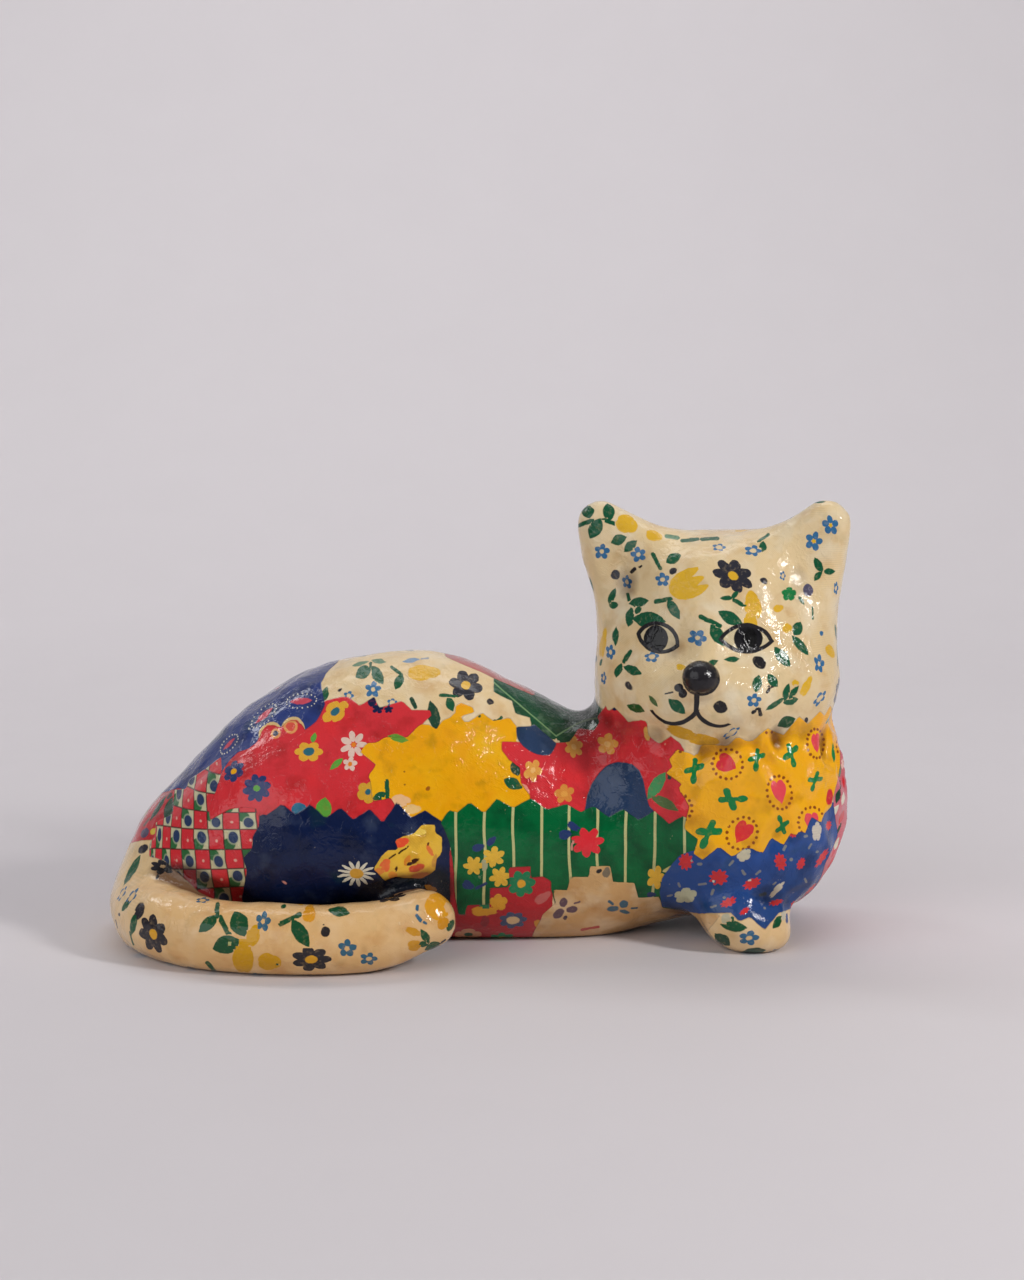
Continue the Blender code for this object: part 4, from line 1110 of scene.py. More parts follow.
def nearest_on_cut(points, rows):
    """For points in mm: the distance to a laid cut, the place along it and whether it is toothed there."""
    best = np.full(len(points), np.inf)
    along = np.zeros(len(points))
    toothed = np.zeros(len(points))
    for row in rows:
        start = row[:3]
        course = row[3:6] - start
        length = np.linalg.norm(course)
        share = np.clip((points - start) @ course / length**2, 0.0, 1.0)
        gap = np.linalg.norm(points - start - share[:, None] * course, axis=1)
        closer = gap < best
        best[closer] = gap[closer]
        along[closer] = row[6] + share[closer] * length
        toothed[closer] = row[7]
    return best, along, toothed


def measure_cut(skin, places, far, depth, along, toothed):
    """Fills in how deep the points of one side lie inside a cutting line, in mm."""
    side = np.flatnonzero(skin.near != far)
    within = inside(skin.shown_at[side], places)
    depth[side] = np.where(within, EDGE_REACH_MM, -EDGE_REACH_MM)
    rows = lay_cut(skin, places, far)
    if not len(rows):
        return
    ends = np.vstack((rows[:, :3], rows[:, 3:6]))
    points = skin.points[side] / MM
    low = ends.min(axis=0) - EDGE_REACH_MM
    high = ends.max(axis=0) + EDGE_REACH_MM
    boxed = np.flatnonzero(((points > low) & (points < high)).all(axis=1))
    gap, place, teeth = nearest_on_cut(points[boxed], rows)
    gap = np.minimum(gap, EDGE_REACH_MM)
    depth[side[boxed]] = np.where(within[boxed], gap, -gap)
    along[side[boxed]] = place
    toothed[side[boxed]] = teeth


def measure_scrap(skin, scrap):
    """How deep each point lies inside a scrap, its place along the teeth and the teeth's height, in mm."""
    count = len(skin.points)
    along = np.zeros(count)
    toothed = np.zeros(count)
    if scrap.name == "skin":
        return np.full(count, EDGE_REACH_MM), along, toothed
    if scrap.name == "underside":
        depth = (-skin.smooth_normal[:, 2] - UNDERSIDE_SLOPE) * UNDERSIDE_SPREAD_MM
    else:
        depth = np.full(count, -EDGE_REACH_MM)
    for places, far in ((scrap.near, False), (scrap.far, True)):
        if places:
            measure_cut(skin, places, far, depth, along, toothed)
    depth = np.minimum(depth, -skin.tail_depth)
    if scrap.off_head:
        depth = np.minimum(depth, -skin.head_depth)
    return depth, along, toothed * TOOTH_HEIGHT_MM


def pick_levels(skin, measures):
    """For each face, the scraps that show there: one that covers it, and up to two whose edges cross it."""
    count = len(skin.face_size)
    chosen = {level: np.full(count, -1) for level in LEVELS}
    open_faces = np.ones(count, bool)
    for index in reversed(range(len(SCRAPS))):
        depth, _, teeth = measures[index]
        band = np.maximum.reduceat(teeth[skin.corner], skin.face_start) / 2 + EDGE_SPARE_MM
        covers = open_faces & (np.minimum.reduceat(depth[skin.corner], skin.face_start) > band)
        crosses = open_faces & ~covers & (np.maximum.reduceat(depth[skin.corner], skin.face_start) > -band)
        chosen["base"][covers] = index
        open_faces &= ~covers
        for level in ("top", "middle"):
            free = crosses & (chosen[level] < 0)
            chosen[level][free] = index
            crosses &= ~free
    return chosen


class Stamps:
    """The prints on one scrap, with their places and directions on the skin."""

    def __init__(self):
        self.centres = []
        self.rights = []
        self.ups = []
        self.normals = []
        self.looks = []
        self.agreements = []

    def add(self, skin, place, look, turn, as_seen):
        """Adds a print, either as the camera sees it or lying flat on the skin."""
        _, _, face, _ = skin.tree.find_nearest(place)
        normal = Vector(skin.smooth_normal[skin.corner[skin.face_start[face]]])
        right, up = seen_directions(normal) if as_seen else flat_directions(normal)
        right, up = turned(right, up, turn)
        self.centres.append(place / MM)
        self.rights.append(right)
        self.ups.append(up)
        self.normals.append(normal)
        self.looks.append(look)
        self.agreements.append(SEEN_AGREEMENT if as_seen else FLAT_AGREEMENT)

    def clear_of(self, place, gap):
        if not self.centres:
            return True
        return np.linalg.norm(np.array(self.centres) - place, axis=1).min() > gap


def seen_directions(normal):
    """The photograph's right and up, stretched where the skin is seen too steeply to trust its print."""
    right, up, view = Vector(CAMERA_RIGHT), Vector(CAMERA_UP), Vector(-CAMERA_FORWARD)
    facing = max(normal.dot(view), LEAST_VIEW)
    tilt = normal - view * normal.dot(view)
    if facing >= STEEPEST_VIEW or tilt.length < 1e-4:
        return right, up
    tilt.normalize()
    more = STEEPEST_VIEW / facing - 1.0
    return right + tilt * (more * right.dot(tilt)), up + tilt * (more * up.dot(tilt))


def flat_directions(normal):
    """Two directions along the skin, the second as upright as can be."""
    up = Vector(CAMERA_UP)
    if abs(up.dot(normal)) > UPRIGHT_LIMIT:
        up = Vector((0.0, 1.0, 0.0))
    up = (up - normal * up.dot(normal)).normalized()
    return up.cross(normal), up


def print_reach(look):
    """How far a print reaches each way, in mm, with its ring of dots."""
    ring = max(0.0, look.depth - look.middle) if look.middle < 0.0 else 0.0
    return look.long + ring, look.wide + ring


def nearest_stamp(skin, stamps, faces):
    """For each face, the print that reaches it, or -1."""
    if not stamps.centres:
        return np.full(len(faces), -1)
    centres = np.array(stamps.centres)
    rights = np.array(stamps.rights)
    ups = np.array(stamps.ups)
    normals = np.array(stamps.normals)
    long, wide = np.array([print_reach(look) for look in stamps.looks]).T
    farthest = np.maximum(long, wide) / STEEPEST_VIEW + PRINT_SPARE_MM
    found = np.empty(len(faces), int)
    for start in range(0, len(faces), FACES_AT_ONCE):
        part = faces[start:start + FACES_AT_ONCE]
        offset = skin.face_centre[part][:, None, :] / MM - centres[None, :, :]
        x = (offset * rights).sum(axis=2)
        y = (offset * ups).sum(axis=2)
        share = np.hypot(x / long, y / wide)
        gap = np.hypot(x, y) * (1.0 - 1.0 / np.maximum(share, 1e-6))
        gap = np.where(share < 1.0, share - 1.0, gap)
        gap[(skin.face_normal[part] @ normals.T) < np.array(stamps.agreements)] = np.inf
        gap[np.linalg.norm(offset, axis=2) > farthest] = np.inf
        nearest = gap.argmin(axis=1)
        reached = gap.min(axis=1) < PRINT_SPARE_MM
        found[start:start + FACES_AT_ONCE] = np.where(reached, nearest, -1)
    return found


def fill_in(skin, stamps, cloth, faces, chance):
    """Adds prints, an even gap apart, wherever a scrap shows and the photograph doesn't."""
    if not cloth.motifs:
        return
    count = 0
    for face in chance.sample(faces, min(len(faces), FILL_TRIES)):
        place = skin.face_centre[face]
        if stamps.clear_of(place / MM, cloth.gap):
            look = cloth.motifs[count % len(cloth.motifs)]
            stamps.add(skin, Vector(place), look, chance.uniform(0.0, 360.0), False)
            count += 1


def faces_to_camera(skin):
    """Which faces turn to the camera."""
    to_eye = CAMERA_EYE - skin.face_centre
    to_eye /= np.linalg.norm(to_eye, axis=1)[:, None]
    return (skin.face_normal * to_eye).sum(axis=1) > SEEN_VIEW


def weave_places(skin):
    """A place across and up the figure for each point, in mm, that wraps round its ends."""
    x, y, z = skin.points.T
    beyond = fade(np.abs(x), STRAIGHT_PART, END_BEND)
    bend = np.arcsin(beyond)
    bend = np.where(skin.near, bend, math.pi - bend)
    wrapped = np.sign(x) * (STRAIGHT_PART + END_BEND * bend)
    sloping = z + BACK_SLOPE * np.clip(z - BACK_START, 0.0, None)
    return np.where(beyond > 0.0, wrapped, x) / MM, sloping / MM


def new_layer(mesh, name, domain, values):
    """Stores a number, a place, or a colour with its alpha, for each point, face or corner."""
    width = values.shape[1] if values.ndim > 1 else 1
    kind, field = LAYER_KINDS[width]
    layer = mesh.attributes.new(name, kind, domain)
    layer.data.foreach_set(field, np.ascontiguousarray(values, np.float32).ravel())


def paint_level(skin, level, chosen, measures, all_stamps, weave):
    """Stores on the mesh what the material needs to draw one level of scraps."""
    faces = len(skin.face_size)
    corners = len(skin.corner)
    ground = np.zeros((faces, 4))
    ink = np.zeros((faces, 4))
    core = np.zeros((faces, 4))
    size = np.ones((faces, 3))
    place = np.full((corners, 3), NO_PRINT_MM)
    cloth_place = np.zeros((corners, 3))
    edge = np.zeros((corners, 3))
    edge[:, 0] = -EDGE_REACH_MM
    corner_scrap = chosen[skin.face_of_corner]
    for index, scrap in enumerate(SCRAPS):
        mine = np.flatnonzero(chosen == index)
        if not len(mine):
            continue
        cloth = CLOTHS[scrap.cloth]
        ground[mine] = (*linear(cloth.ground), cloth.pattern)
        own_corners = np.flatnonzero(corner_scrap == index)
        vertex = skin.corner[own_corners]
        edge[own_corners] = np.stack([values[vertex] for values in measures[index]], axis=1)
        across, up = turned(weave[0][vertex], weave[1][vertex], scrap.turn)
        cloth_place[own_corners, 0] = across
        cloth_place[own_corners, 1] = up
        stamps = all_stamps[index]
        stamp_of_face = np.full(faces, -1)
        stamp_of_face[mine] = nearest_stamp(skin, stamps, mine)
        inked = mine[stamp_of_face[mine] >= 0]
        if not len(inked):
            continue
        looks = [stamps.looks[number] for number in stamp_of_face[inked]]
        ink[inked] = [(*linear(look.ink), look.shape) for look in looks]
        core[inked] = [(*linear(look.core), look.lobes) for look in looks]
        size[inked] = [(look.long, look.wide, look.middle) for look in looks]
        number = stamp_of_face[skin.face_of_corner[own_corners]]
        has = number >= 0
        place[own_corners[has]] = places_on_prints(skin.points[vertex[has]] / MM, stamps, number[has])
    layers = [
        ("ground", "FACE", ground), ("ink", "FACE", ink), ("core", "FACE", core), ("size", "FACE", size),
        ("place", "CORNER", place), ("weave", "CORNER", cloth_place),
    ]
    if level != "base":
        layers.append(("edge", "CORNER", edge))
    for name, domain, values in layers:
        new_layer(skin.mesh, level + "_" + name, domain, values)


def places_on_prints(points, stamps, number):
    """Where points in mm lie across and up their prints, with how deep the prints' lobes are."""
    offset = points - np.array(stamps.centres)[number]
    across = (offset * np.array(stamps.rights)[number]).sum(axis=1)
    up = (offset * np.array(stamps.ups)[number]).sum(axis=1)
    depth = np.array([look.depth for look in stamps.looks])[number]
    return np.stack((across, up, depth), axis=1)


def paint_face(skin):
    """Stores where the points of the face lie from the nose, in mm, and whether they are on the face."""
    across = (skin.shown_at[:, 0] - FACE_ORIGIN_PIXELS[0]) * FACE_MM_PER_PIXEL
    up = (FACE_ORIGIN_PIXELS[1] - skin.shown_at[:, 1]) * FACE_MM_PER_PIXEL
    own = in_head(skin.points)
    front = (own[:, 1] < FACE_BACK) & (own[:, 2] > FACE_BOTTOM) & (skin.facing > FACE_FACING)
    new_layer(skin.mesh, "face_place", "POINT", np.stack((across, up, front), axis=1))
    depth = (1.0 - nose_share(own)) * NOSE_RADII[0] / MM + NOSE_EDGE_MM
    new_layer(skin.mesh, "nose_depth", "POINT", depth)


def store_warmth(skin):
    """How yellow old varnish has turned each point."""
    tail = fade(skin.tail_depth, -TAIL_BLEND_MM / 2, TAIL_BLEND_MM)
    tail *= fade(skin.points[:, 0], TAIL_END, TAIL_END_FADE, TAIL_END_WARMTH)
    low = fade(skin.points[:, 2], LOW_TOP, -LOW_FADE)
    low *= fade(skin.head_depth, HEAD_BLEND_MM / 2, -HEAD_BLEND_MM)
    new_layer(skin.mesh, "warmth", "POINT", np.maximum(tail, LOW_WARMTH * low))


def paint(skin):
    """Lays out all the scraps and prints and stores them on the mesh."""
    measures = [measure_scrap(skin, scrap) for scrap in SCRAPS]
    chosen = pick_levels(skin, measures)
    seen = faces_to_camera(skin)
    all_stamps = []
    chance = random.Random(FILL_SEED)
    for index, scrap in enumerate(SCRAPS):
        stamps = Stamps()
        for across, down, turn, look in PRINTS.get(scrap.name, ()):
            place = skin.hit(across, down)
            if place is not None:
                stamps.add(skin, place, look, turn, True)
        shows = (chosen["base"] == index) | (chosen["middle"] == index)
        fill_in(skin, stamps, CLOTHS[scrap.cloth], np.flatnonzero(shows & ~seen).tolist(), chance)
        all_stamps.append(stamps)
    weave = weave_places(skin)
    for level in LEVELS:
        paint_level(skin, level, chosen[level], measures, all_stamps, weave)
    paint_face(skin)
    store_warmth(skin)


def worked_out(operation, swapped=False):
    """A method that works out a Term and another value in its node tree."""

    def method(self, other):
        terms = (other, self) if swapped else (self, other)
        return self.sheet.math(operation, *terms)

    return method


class Term:
    """A number in a node tree, so that sums can be written with it."""

    __add__ = worked_out("ADD")
    __radd__ = worked_out("ADD", swapped=True)
    __sub__ = worked_out("SUBTRACT")
    __rsub__ = worked_out("SUBTRACT", swapped=True)
    __mul__ = worked_out("MULTIPLY")
    __truediv__ = worked_out("DIVIDE")
    __rtruediv__ = worked_out("DIVIDE", swapped=True)
    __pow__ = worked_out("POWER")

    def __init__(self, sheet, socket):
        self.sheet = sheet
        self.socket = socket

    def size(self):
        return self.sheet.math("ABSOLUTE", self)

    def held(self):
        """The number kept between 0 and 1."""
        return self.sheet.math("ADD", self, 0.0, clamp=True)

    def step(self, width):
        """0 well below nought, 1 well above it, over a width."""
        return self.sheet.math("MULTIPLY_ADD", self, 1.0 / width, 0.5, clamp=True)


class Sheet:
    """A node tree that nodes are added to by short calls."""

    def __init__(self, tree):
        self.tree = tree

    def feed(self, socket, value):
        if isinstance(value, Term):
            self.tree.links.new(value.socket, socket)
        elif isinstance(value, bpy.types.NodeSocket):
            self.tree.links.new(value, socket)
        else:
            socket.default_value = value

    def math(self, operation, *terms, clamp=False):
        node = self.tree.nodes.new("ShaderNodeMath")
        node.operation = operation
        node.use_clamp = clamp
        for socket, term in zip(node.inputs, terms):
            self.feed(socket, term)
        return Term(self, node.outputs[0])

    def least(self, *terms):
        return reduce(lambda one, other: self.math("MINIMUM", one, other), terms)

    def most(self, *terms):
        return reduce(lambda one, other: self.math("MAXIMUM", one, other), terms)

    def length(self, x, y):
        return self.math("SQRT", x * x + y * y)

    def is_number(self, term, number):
        return self.math("COMPARE", term, float(number), SAME_NUMBER)

    def attribute(self, name):
        node = self.tree.nodes.new("ShaderNodeAttribute")
        node.attribute_name = name
        return node

    def split(self, socket):
        node = self.tree.nodes.new("ShaderNodeSeparateXYZ")
        self.feed(node.inputs[0], socket)
        return [Term(self, output) for output in node.outputs]

    def number(self, name):
        """A number that is stored on the mesh."""
        return Term(self, self.attribute(name).outputs["Fac"])

    def place(self, name):
        """The three numbers of a place that is stored on the mesh."""
        return self.split(self.attribute(name).outputs["Vector"])

    def noise(self, size_mm, detail, seed=0.0):
        """Noise over the object with features of a size in mm; returns its node."""
        node = self.tree.nodes.new("ShaderNodeTexNoise")
        node.noise_dimensions = "4D"
        self.feed(node.inputs["Vector"], self.tree.nodes.new("ShaderNodeTexCoord").outputs["Object"])
        node.inputs["W"].default_value = seed
        node.inputs["Scale"].default_value = 1.0 / (size_mm * MM)
        node.inputs["Detail"].default_value = detail
        return node

    def cloud(self, size_mm, detail, seed=0.0):
        """The noise as a number that lies about 0.5."""
        return Term(self, self.noise(size_mm, detail, seed).outputs[0])

    def patches(self, size_mm, detail, seed, start, slope):
        """Soft patches, from 0 to 1, where the noise is above a start."""
        return ((self.cloud(size_mm, detail, seed) - start) * slope).held()

    def wavered(self, x, y, size_mm, reach, seed=0.0):
        """Two coordinates that noise shifts a little, so that what is drawn by them wavers."""
        shake = self.split(self.noise(size_mm, 3.0, seed).outputs["Color"])
        return x + (shake[0] - 0.5) * reach, y + (shake[1] - 0.5) * reach

    def group(self, tree, **given):
        """A node group fed with what is given; returns its colour."""
        node = self.tree.nodes.new("ShaderNodeGroup")
        node.node_tree = tree
        for title, value in given.items():
            self.feed(node.inputs[title], value)
        return node.outputs["Color"]

    def mix(self, share, low, high, blend="MIX"):
        node = self.tree.nodes.new("ShaderNodeMix")
        node.data_type = "RGBA"
        node.blend_type = blend
        self.feed(node.inputs["Factor"], share)
        for socket, value in zip([s for s in node.inputs if s.type == "RGBA"], (low, high)):
            self.feed(socket, value if not isinstance(value, tuple) else (*value[:3], 1.0))
        return [output for output in node.outputs if output.type == "RGBA"][0]


def new_group(name, inputs, outputs):
    tree = bpy.data.node_groups.new(name, "ShaderNodeTree")
    for title, kind in inputs:
        tree.interface.new_socket(title, in_out="INPUT", socket_type="NodeSocket" + kind)
    for title, kind in outputs:
        tree.interface.new_socket(title, in_out="OUTPUT", socket_type="NodeSocket" + kind)
    given = tree.nodes.new("NodeGroupInput")
    result = tree.nodes.new("NodeGroupOutput")
    return Sheet(tree), given.outputs, result.inputs


# Printing and painting
SAME_NUMBER = 0.4
PRINT_WAVER_MM = 1.1
PRINT_WAVER_SIZE_MM = 2.8
PRINT_BLUR_MM = 0.28
OUTSIDE_PRINT = 9.0
PETAL_MIDDLE = 0.60
BLOT_CURVE = 0.55
STAR_CURVE = 1.5
INK_WEAR = 0.30
RING_LEAST_MM = 0.01
FACE_WAVER_MM = 0.9
FACE_WAVER_SIZE_MM = 5.0
THREAD_PITCH_MM = 1.05

# The sprig's four arms, as shares of its half height: how far they reach, and how wide they are
SPRIG_SIDES = (0.46, 0.21)
SPRIG_TOP = (0.52, 0.17)
SPRIG_STEM = (-0.60, 0.13)
SPRIG_SHIFT = 0.06
SPRIG_SLANT = 0.25
SPRIG_FOOT = 0.70
SPRIG_FOOT_SQUASH = 0.62

# The heart's proportions
HEART_HIGH = 1.10
HEART_NOTCH = 0.62
HEART_DROP = 0.14
HEART_SIDES = 1.1

# The tulip's three points, and how high its cup is between and at them
TULIP_POINTS = 4.6
TULIP_LOW = 0.42
TULIP_RISE = 0.55

# The woven patterns' sizes and where they start; the lift keeps a row's number above nought
CHECK_WIDE_MM = 7.0
CHECK_HIGH_MM = 7.75
CHECK_SHIFT = (1.437, 0.11)
CHECK_SWAY_MM = 2.0
CHECK_SPOT_MM = 0.55
CHECK_SMUDGE_MM = 2.7
CHECK_DOT_MM = 2.05
CHECK_HALO_MM = 2.6
CHECK_BORDER_MM = 0.28
CHECK_PINK = (232, 176, 160)
CHECK_PALE = (204, 196, 156)
CHECK_GREEN = (52, 108, 62)
CHECK_HALO = (176, 182, 156)
CHECK_BLUE = (42, 60, 96)
CHECK_DARK = (56, 26, 28)
FENCE_PITCH_MM = 11.27
FENCE_SHIFT = 0.23
FENCE_SWAY_MM = 3.0
FENCE_LINE_MM = 0.54
CHEVRON_MIDDLE_MM = 31.6
CHEVRON_LOW_MM = 91.2
CHEVRON_SLOPES = (0.98, 0.45)
CHEVRON_PITCH_MM = 27.0
CHEVRON_LINE_MM = 0.34
CHEVRON_LINE = (132, 172, 120)
ROW_LIFT = 64.0

# Soft blots of another colour: their size in mm, their noise's detail and seed, where on it they start and
# how sharply, their strength, their colour, and how it is laid on
Blot = namedtuple("Blot", "size detail seed start slope strength colour blend", defaults=("MIX",))
FENCE_BLOTS = (Blot(9.0, 3.0, 32.0, 0.45, 4.0, 0.68, (0, 54, 30)),)
CHEVRON_BLOTS = (
    Blot(10.0, 3.0, 34.0, 0.45, 4.0, 0.50, (6, 44, 28)),
    # Pale blots on the saddle's green: painted sheen
    Blot(4.5, 4.0, 45.0, 0.54, 6.0, 0.34, (140, 164, 140)),
)

# A darker and a yellower shade of the ground
MOTTLED_BLOTS = (
    Blot(9.0, 3.0, 4.0, 0.53, 5.0, 0.46, (164, 132, 84), "MULTIPLY"),
    Blot(13.0, 2.0, 9.0, 0.48, 4.0, 0.30, (255, 150, 120), "SOFT_LIGHT"),
)

# Darker and lighter clouds with a touch of green, as of dye that has run
CLOUDY_BLOTS = (
    Blot(12.0, 4.0, 35.0, 0.50, 5.0, 0.60, (110, 110, 120), "MULTIPLY"),
    Blot(10.0, 3.0, 36.0, 0.56, 5.0, 0.18, (110, 126, 150)),
    Blot(15.0, 2.0, 37.0, 0.60, 7.0, 0.45, (16, 62, 50)),
)

# Paler and browner clouds, as of varnish that has soaked in unevenly
WAXY_BLOTS = (
    Blot(13.0, 3.0, 38.0, 0.47, 4.0, 0.65, (240, 228, 202)),
    Blot(10.0, 3.0, 39.0, 0.52, 5.0, 0.46, (222, 190, 142), "MULTIPLY"),
)

# Orange, a brighter yellow and olive
STAINED_BLOTS = (
    Blot(16.0, 2.0, 42.0, 0.48, 4.0, 0.50, (236, 146, 24)),
    Blot(12.0, 2.0, 43.0, 0.52, 5.0, 0.50, (246, 194, 26)),
    Blot(6.5, 2.0, 44.0, 0.59, 7.0, 0.50, (172, 132, 8)),
)


def upright_arm(sheet, x, y, reach, wide):
    """A round-ended arm from the middle of a print along its height: below 1 inside it."""
    low, high = min(reach, 0.0), max(reach, 0.0)
    beyond = y - sheet.least(sheet.most(y, low), high)
    return sheet.length(x, beyond) / wide


def sprig_form(sheet, x, y):
    """Four round-ended arms, of which the lower one is the longest and ends in a foot."""
    reach, wide = SPRIG_SIDES
    right = upright_arm(sheet, y - SPRIG_SHIFT - x * SPRIG_SLANT, x, reach, wide)
    left = upright_arm(sheet, y + SPRIG_SHIFT - x * SPRIG_SLANT, x, -reach, wide)
    top = upright_arm(sheet, x, y, *SPRIG_TOP)
    stem = upright_arm(sheet, x, y, *SPRIG_STEM)
    foot = sheet.length(x, (y + SPRIG_FOOT) * SPRIG_FOOT_SQUASH) / wide
    return sheet.least(right, left, top, stem, foot)


def tulip_form(sheet, x, y, radius):
    """A cup with three points."""
    point = sheet.math("COSINE", x * TULIP_POINTS).size()
    cup = sheet.most(x.size(), y / (TULIP_LOW + point * TULIP_RISE))
    above = sheet.math("GREATER_THAN", y, 0.0)
    return cup * above + radius * (1.0 - above)


def petals_form(sheet, radius, angle, count, fullness):
    """Oval petals round a middle: below 1 inside them."""
    half_turn = math.pi / count
    swing = sheet.math("FLOORED_MODULO", angle + half_turn, half_turn * 2.0) - half_turn
    out = radius * sheet.math("COSINE", swing)
    beside = radius * sheet.math("SINE", swing)
    wide = sheet.math("SINE", half_turn) * fullness * PETAL_MIDDLE
    return sheet.length((out - PETAL_MIDDLE) / (1.0 - PETAL_MIDDLE), beside / wide)


def heart_form(sheet, x, y):
    lift = y * HEART_HIGH - sheet.math("SQRT", x.size()) * HEART_NOTCH + HEART_DROP
    return x * x * HEART_SIDES + lift * lift


def bar_form(sheet, x_mm, y, long, wide):
    """A stroke with round ends."""
    beyond = sheet.most(x_mm.size() - (long - wide), 0.0) / wide
    return sheet.length(beyond, y)


def dotted_ring(sheet, x_mm, y_mm, long, wide, count, dot):
    """A ring of small dots round a print: how far a place lies inside a dot, in mm."""
    angle = sheet.math("ARCTAN2", y_mm / wide, x_mm / long)
    turn = (sheet.math("FLOOR", angle * count / math.tau) + 0.5) / count * math.tau
    beside = x_mm - sheet.math("COSINE", turn) * long
    above = y_mm - sheet.math("SINE", turn) * wide
    return dot - sheet.length(beside, above)


def build_print_group():
    """One print on its ground: which shape it is comes as a number, its sizes in mm."""
    sheet, given, result = new_group(
        "print",
        (("Place", "Vector"), ("Size", "Vector"), ("Shape", "Float"), ("Lobes", "Float"), ("Ink", "Color"),
         ("Core", "Color"), ("Ground", "Color")),
        (("Color", "Color"),),
    )
    x_mm, y_mm, depth = sheet.split(given["Place"])
    x_mm, y_mm = sheet.wavered(x_mm, y_mm, PRINT_WAVER_SIZE_MM, PRINT_WAVER_MM)
    long, wide, middle = sheet.split(given["Size"])
    x = x_mm / long
    y = y_mm / wide
    radius = sheet.length(x, y)
    angle = sheet.math("ARCTAN2", y, x)
    lobes = Term(sheet, given["Lobes"])
    lobe = sheet.math("COSINE", angle * lobes * 0.5).size()
    forms = {
        PETALS: petals_form(sheet, radius, angle, sheet.most(lobes, 2.0), depth),
        BLOT: radius / (1.0 - depth * (1.0 - lobe ** BLOT_CURVE)),
        STAR: radius / (1.0 - depth * (1.0 - lobe ** STAR_CURVE)),
        LEAF: y.size() + x * x,
        HEART: heart_form(sheet, x, y),
        TULIP: tulip_form(sheet, x, y, radius),
        BAR: bar_form(sheet, x_mm, y, long, wide),
        SPRIG: sprig_form(sheet, x, y),
    }
    shape = Term(sheet, given["Shape"])
    form = OUTSIDE_PRINT
    for number, own in forms.items():
        form = sheet.is_number(shape, number) * (own - OUTSIDE_PRINT) + form
    mask = sheet.math("MULTIPLY_ADD", 1.0 - form, wide / PRINT_BLUR_MM, 0.5, clamp=True)
    mask = mask * (1.0 - sheet.patches(1.7, 4.0, 30.0, 0.54, 3.0) * INK_WEAR)
    middle_mask = (middle - radius * wide).step(PRINT_BLUR_MM) * sheet.math("GREATER_THAN", middle, 0.0)
    gap = sheet.most(0.0 - middle, RING_LEAST_MM)
    ring = dotted_ring(sheet, x_mm, y_mm, long + gap, wide + gap, sheet.most(lobes, 3.0), depth)
    ring = ring.step(PRINT_BLUR_MM) * sheet.math("LESS_THAN", middle, 0.0)
    colour = sheet.mix(mask, given["Ground"], given["Ink"])
    colour = sheet.mix(sheet.most(middle_mask, ring), colour, given["Core"])
    sheet.feed(result["Color"], colour)
    return sheet.tree


def build_cloth_group():
    """A cloth's ground with its all-over pattern; which pattern it is comes as a number."""
    sheet, given, result = new_group(
        "cloth",
        (("Weave", "Vector"), ("Pattern", "Float"), ("Ground", "Color")),
        (("Color", "Color"),),
    )
    across, up, _ = sheet.split(given["Weave"])
    ground = given["Ground"]
    patterns = {
        CHECK: check_pattern(sheet, across, up, ground),
        FENCE: fence_pattern(sheet, across, ground),
        MOTTLED: blotted(sheet, ground, MOTTLED_BLOTS),
        CHEVRON: chevron_pattern(sheet, across, up, ground),
        CLOUDY: blotted(sheet, ground, CLOUDY_BLOTS),
        WAXY: blotted(sheet, ground, WAXY_BLOTS),
        STAINED: blotted(sheet, ground, STAINED_BLOTS),
    }
    pattern = Term(sheet, given["Pattern"])
    colour = ground
    for number, own in patterns.items():
        colour = sheet.mix(sheet.is_number(pattern, number), colour, own)
    sheet.feed(result["Color"], colour)
    return sheet.tree


def blotted(sheet, colour, blots):
    """A colour with soft blots of others laid on it."""
    for blot in blots:
        share = sheet.patches(blot.size, blot.detail, blot.seed, blot.start, blot.slope) * blot.strength
        colour = sheet.mix(share, colour, linear(blot.colour), blot.blend)
    return colour


def check_pattern(sheet, across, up, ground):
    """Red squares with a pale dot, and pale ones with a blue dot on a green smudge, in dark lines."""
    across = across + (sheet.cloud(9.0, 1.0, 33.0) - 0.5) * CHECK_SWAY_MM
    column = across / CHECK_WIDE_MM + CHECK_SHIFT[0]
    row = up / CHECK_HIGH_MM + CHECK_SHIFT[1]
    row_number = sheet.math("FLOOR", row)
    parity = sheet.math("FLOORED_MODULO", sheet.math("FLOOR", column) + row_number, 2.0)
    flip = sheet.math("FLOORED_MODULO", row_number, 2.0) * 2.0 - 1.0
    x = (sheet.math("FRACT", column + ROW_LIFT) - 0.5) * CHECK_WIDE_MM
    y = (sheet.math("FRACT", row + ROW_LIFT) - 0.5) * CHECK_HIGH_MM
    spot = (CHECK_SPOT_MM - sheet.length(x - 0.3, y + 0.5)).step(0.5)
    smudge = (CHECK_SMUDGE_MM - sheet.length(x + 1.7, (y + flip * 1.9) * 1.15)).step(0.5)
    from_dot = sheet.length(x - 0.35, (y - flip * 0.8) * 0.9)
    red_square = sheet.mix(spot, ground, linear(CHECK_PINK))
    pale = sheet.mix(smudge, linear(CHECK_PALE), linear(CHECK_GREEN))
    pale = sheet.mix((CHECK_HALO_MM - from_dot).step(0.5) * 0.7, pale, linear(CHECK_HALO))
    pale = sheet.mix((CHECK_DOT_MM - from_dot).step(0.3), pale, linear(CHECK_BLUE))
    squares = sheet.mix(parity, red_square, pale)
    border = sheet.most(x.size() - CHECK_WIDE_MM / 2, y.size() - CHECK_HIGH_MM / 2)
    return sheet.mix((border + CHECK_BORDER_MM).step(0.3) * 0.85, squares, linear(CHECK_DARK))


